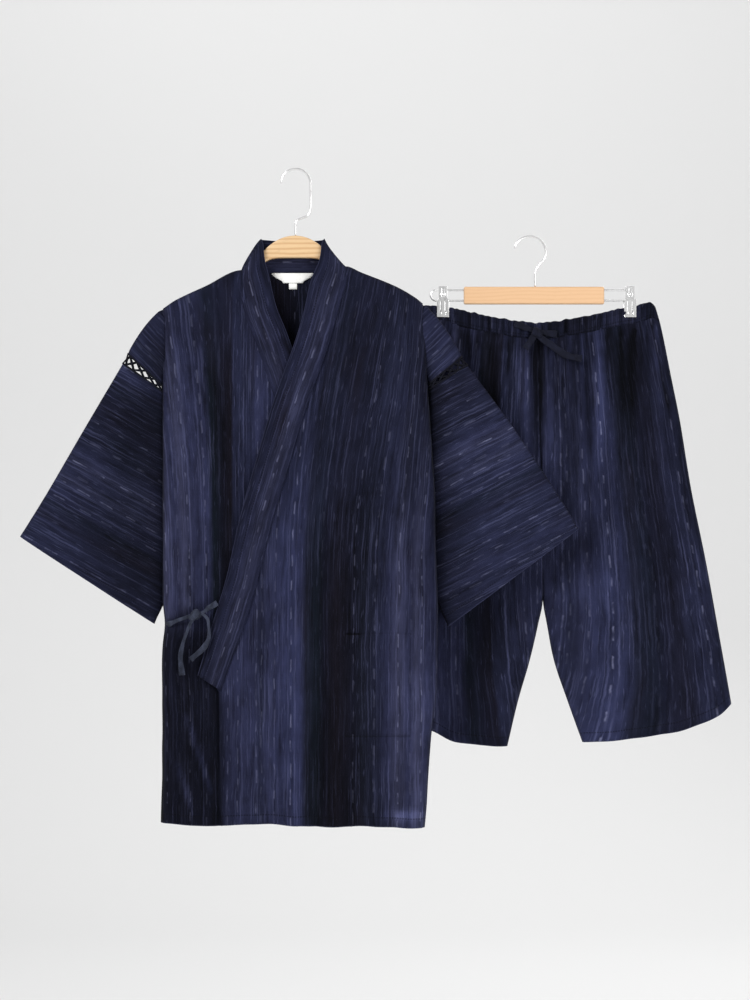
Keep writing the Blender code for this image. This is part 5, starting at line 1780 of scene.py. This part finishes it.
# %% Backdrop
def sweep_material():
    paper = Finish("paper sweep", Roughness=0.95, Specular_IOR_Level=0.1)
    x, y, z = paper.place()
    fibres = paper.grain(x * 3.0, y * 3.0, z * 3.0, 3.0)
    # painted light: the paper is a little lighter towards the lower right, a painted gradient of light
    lower = (fibres * 0.06 + x * 0.10 - z * 0.26).spread(-0.30, 0.55)
    paper.to("Base Color", paper.blend(lower, (0.76, 0.76, 0.76, 1), (0.79, 0.79, 0.79, 1)))
    return paper.material


def sweep():
    """Paper that runs level far below the set and turns up in a quarter circle behind it."""
    floor, radius, turn_y, top = -1.6, 1.5, 3.1, 4.5
    bend = [math.radians(i * 7.5) for i in range(1, 13)]
    curve = [(turn_y + radius * math.sin(a), floor + radius - radius * math.cos(a)) for a in bend]
    profile = [(-8.0, floor), (turn_y, floor), *curve, (turn_y + radius, top)]
    mesh = bmesh.new()
    lines = [[mesh.verts.new((x, y, z)) for y, z in profile] for x in (-7.0, 7.0)]
    for a, b, c, d in zip(lines[0], lines[0][1:], lines[1][1:], lines[1]):
        mesh.faces.new((a, d, c, b)).smooth = True
    object_from(mesh, "sweep", sweep_material())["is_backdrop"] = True


sweep()
print("backdrop made")

# %% Lights
SET_MIDDLE = (0.1, 0, -0.45)


def soft_light(name, place, target, size, power):
    light = bpy.data.lights.new(name, "AREA")
    light.shape = "RECTANGLE"
    light.size, light.size_y, light.energy = *size, power
    obj = bpy.data.objects.new(name, light)
    bpy.context.scene.collection.objects.link(obj)
    obj.location = place
    obj.rotation_euler = (Vector(target) - Vector(place)).to_track_quat("-Z", "Y").to_euler()


soft_light("key", (-2.4, -2.6, 1.7), SET_MIDDLE, (1.8, 1.8), 128)
soft_light("fill", (2.2, -2.8, -0.5), (0.1, 0, -0.5), (2.2, 2.2), 62)
soft_light("wall", (0.3, 2.6, 2.2), (0.8, 4.6, -0.3), (4.0, 1.0), 26)
soft_light("back", (1.6, 2.9, 1.3), SET_MIDDLE, (1.6, 1.6), 45)
world = bpy.data.worlds.new("studio")
bpy.context.scene.world = world
world.use_nodes = True
sky = world.node_tree.nodes["Background"]
sky.inputs["Color"].default_value = (1.0, 1.0, 1.0, 1)
sky.inputs["Strength"].default_value = 0.50
bpy.context.scene.view_settings.view_transform = "Standard"
print("lights made")

# %% [markdown]
# # Check the size and finish
# The finished pieces must fill the frame's box and stay in it. How far each corner of the box has moved is
# printed.

# %% Sizes
seen_box = [list(corner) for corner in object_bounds()]
for corner, was, now in zip(("low corner", "high corner"), cad_box, seen_box):
    print(corner, "moved, in mm:", [round((b - a) * 1000, 1) for a, b in zip(was, now)])
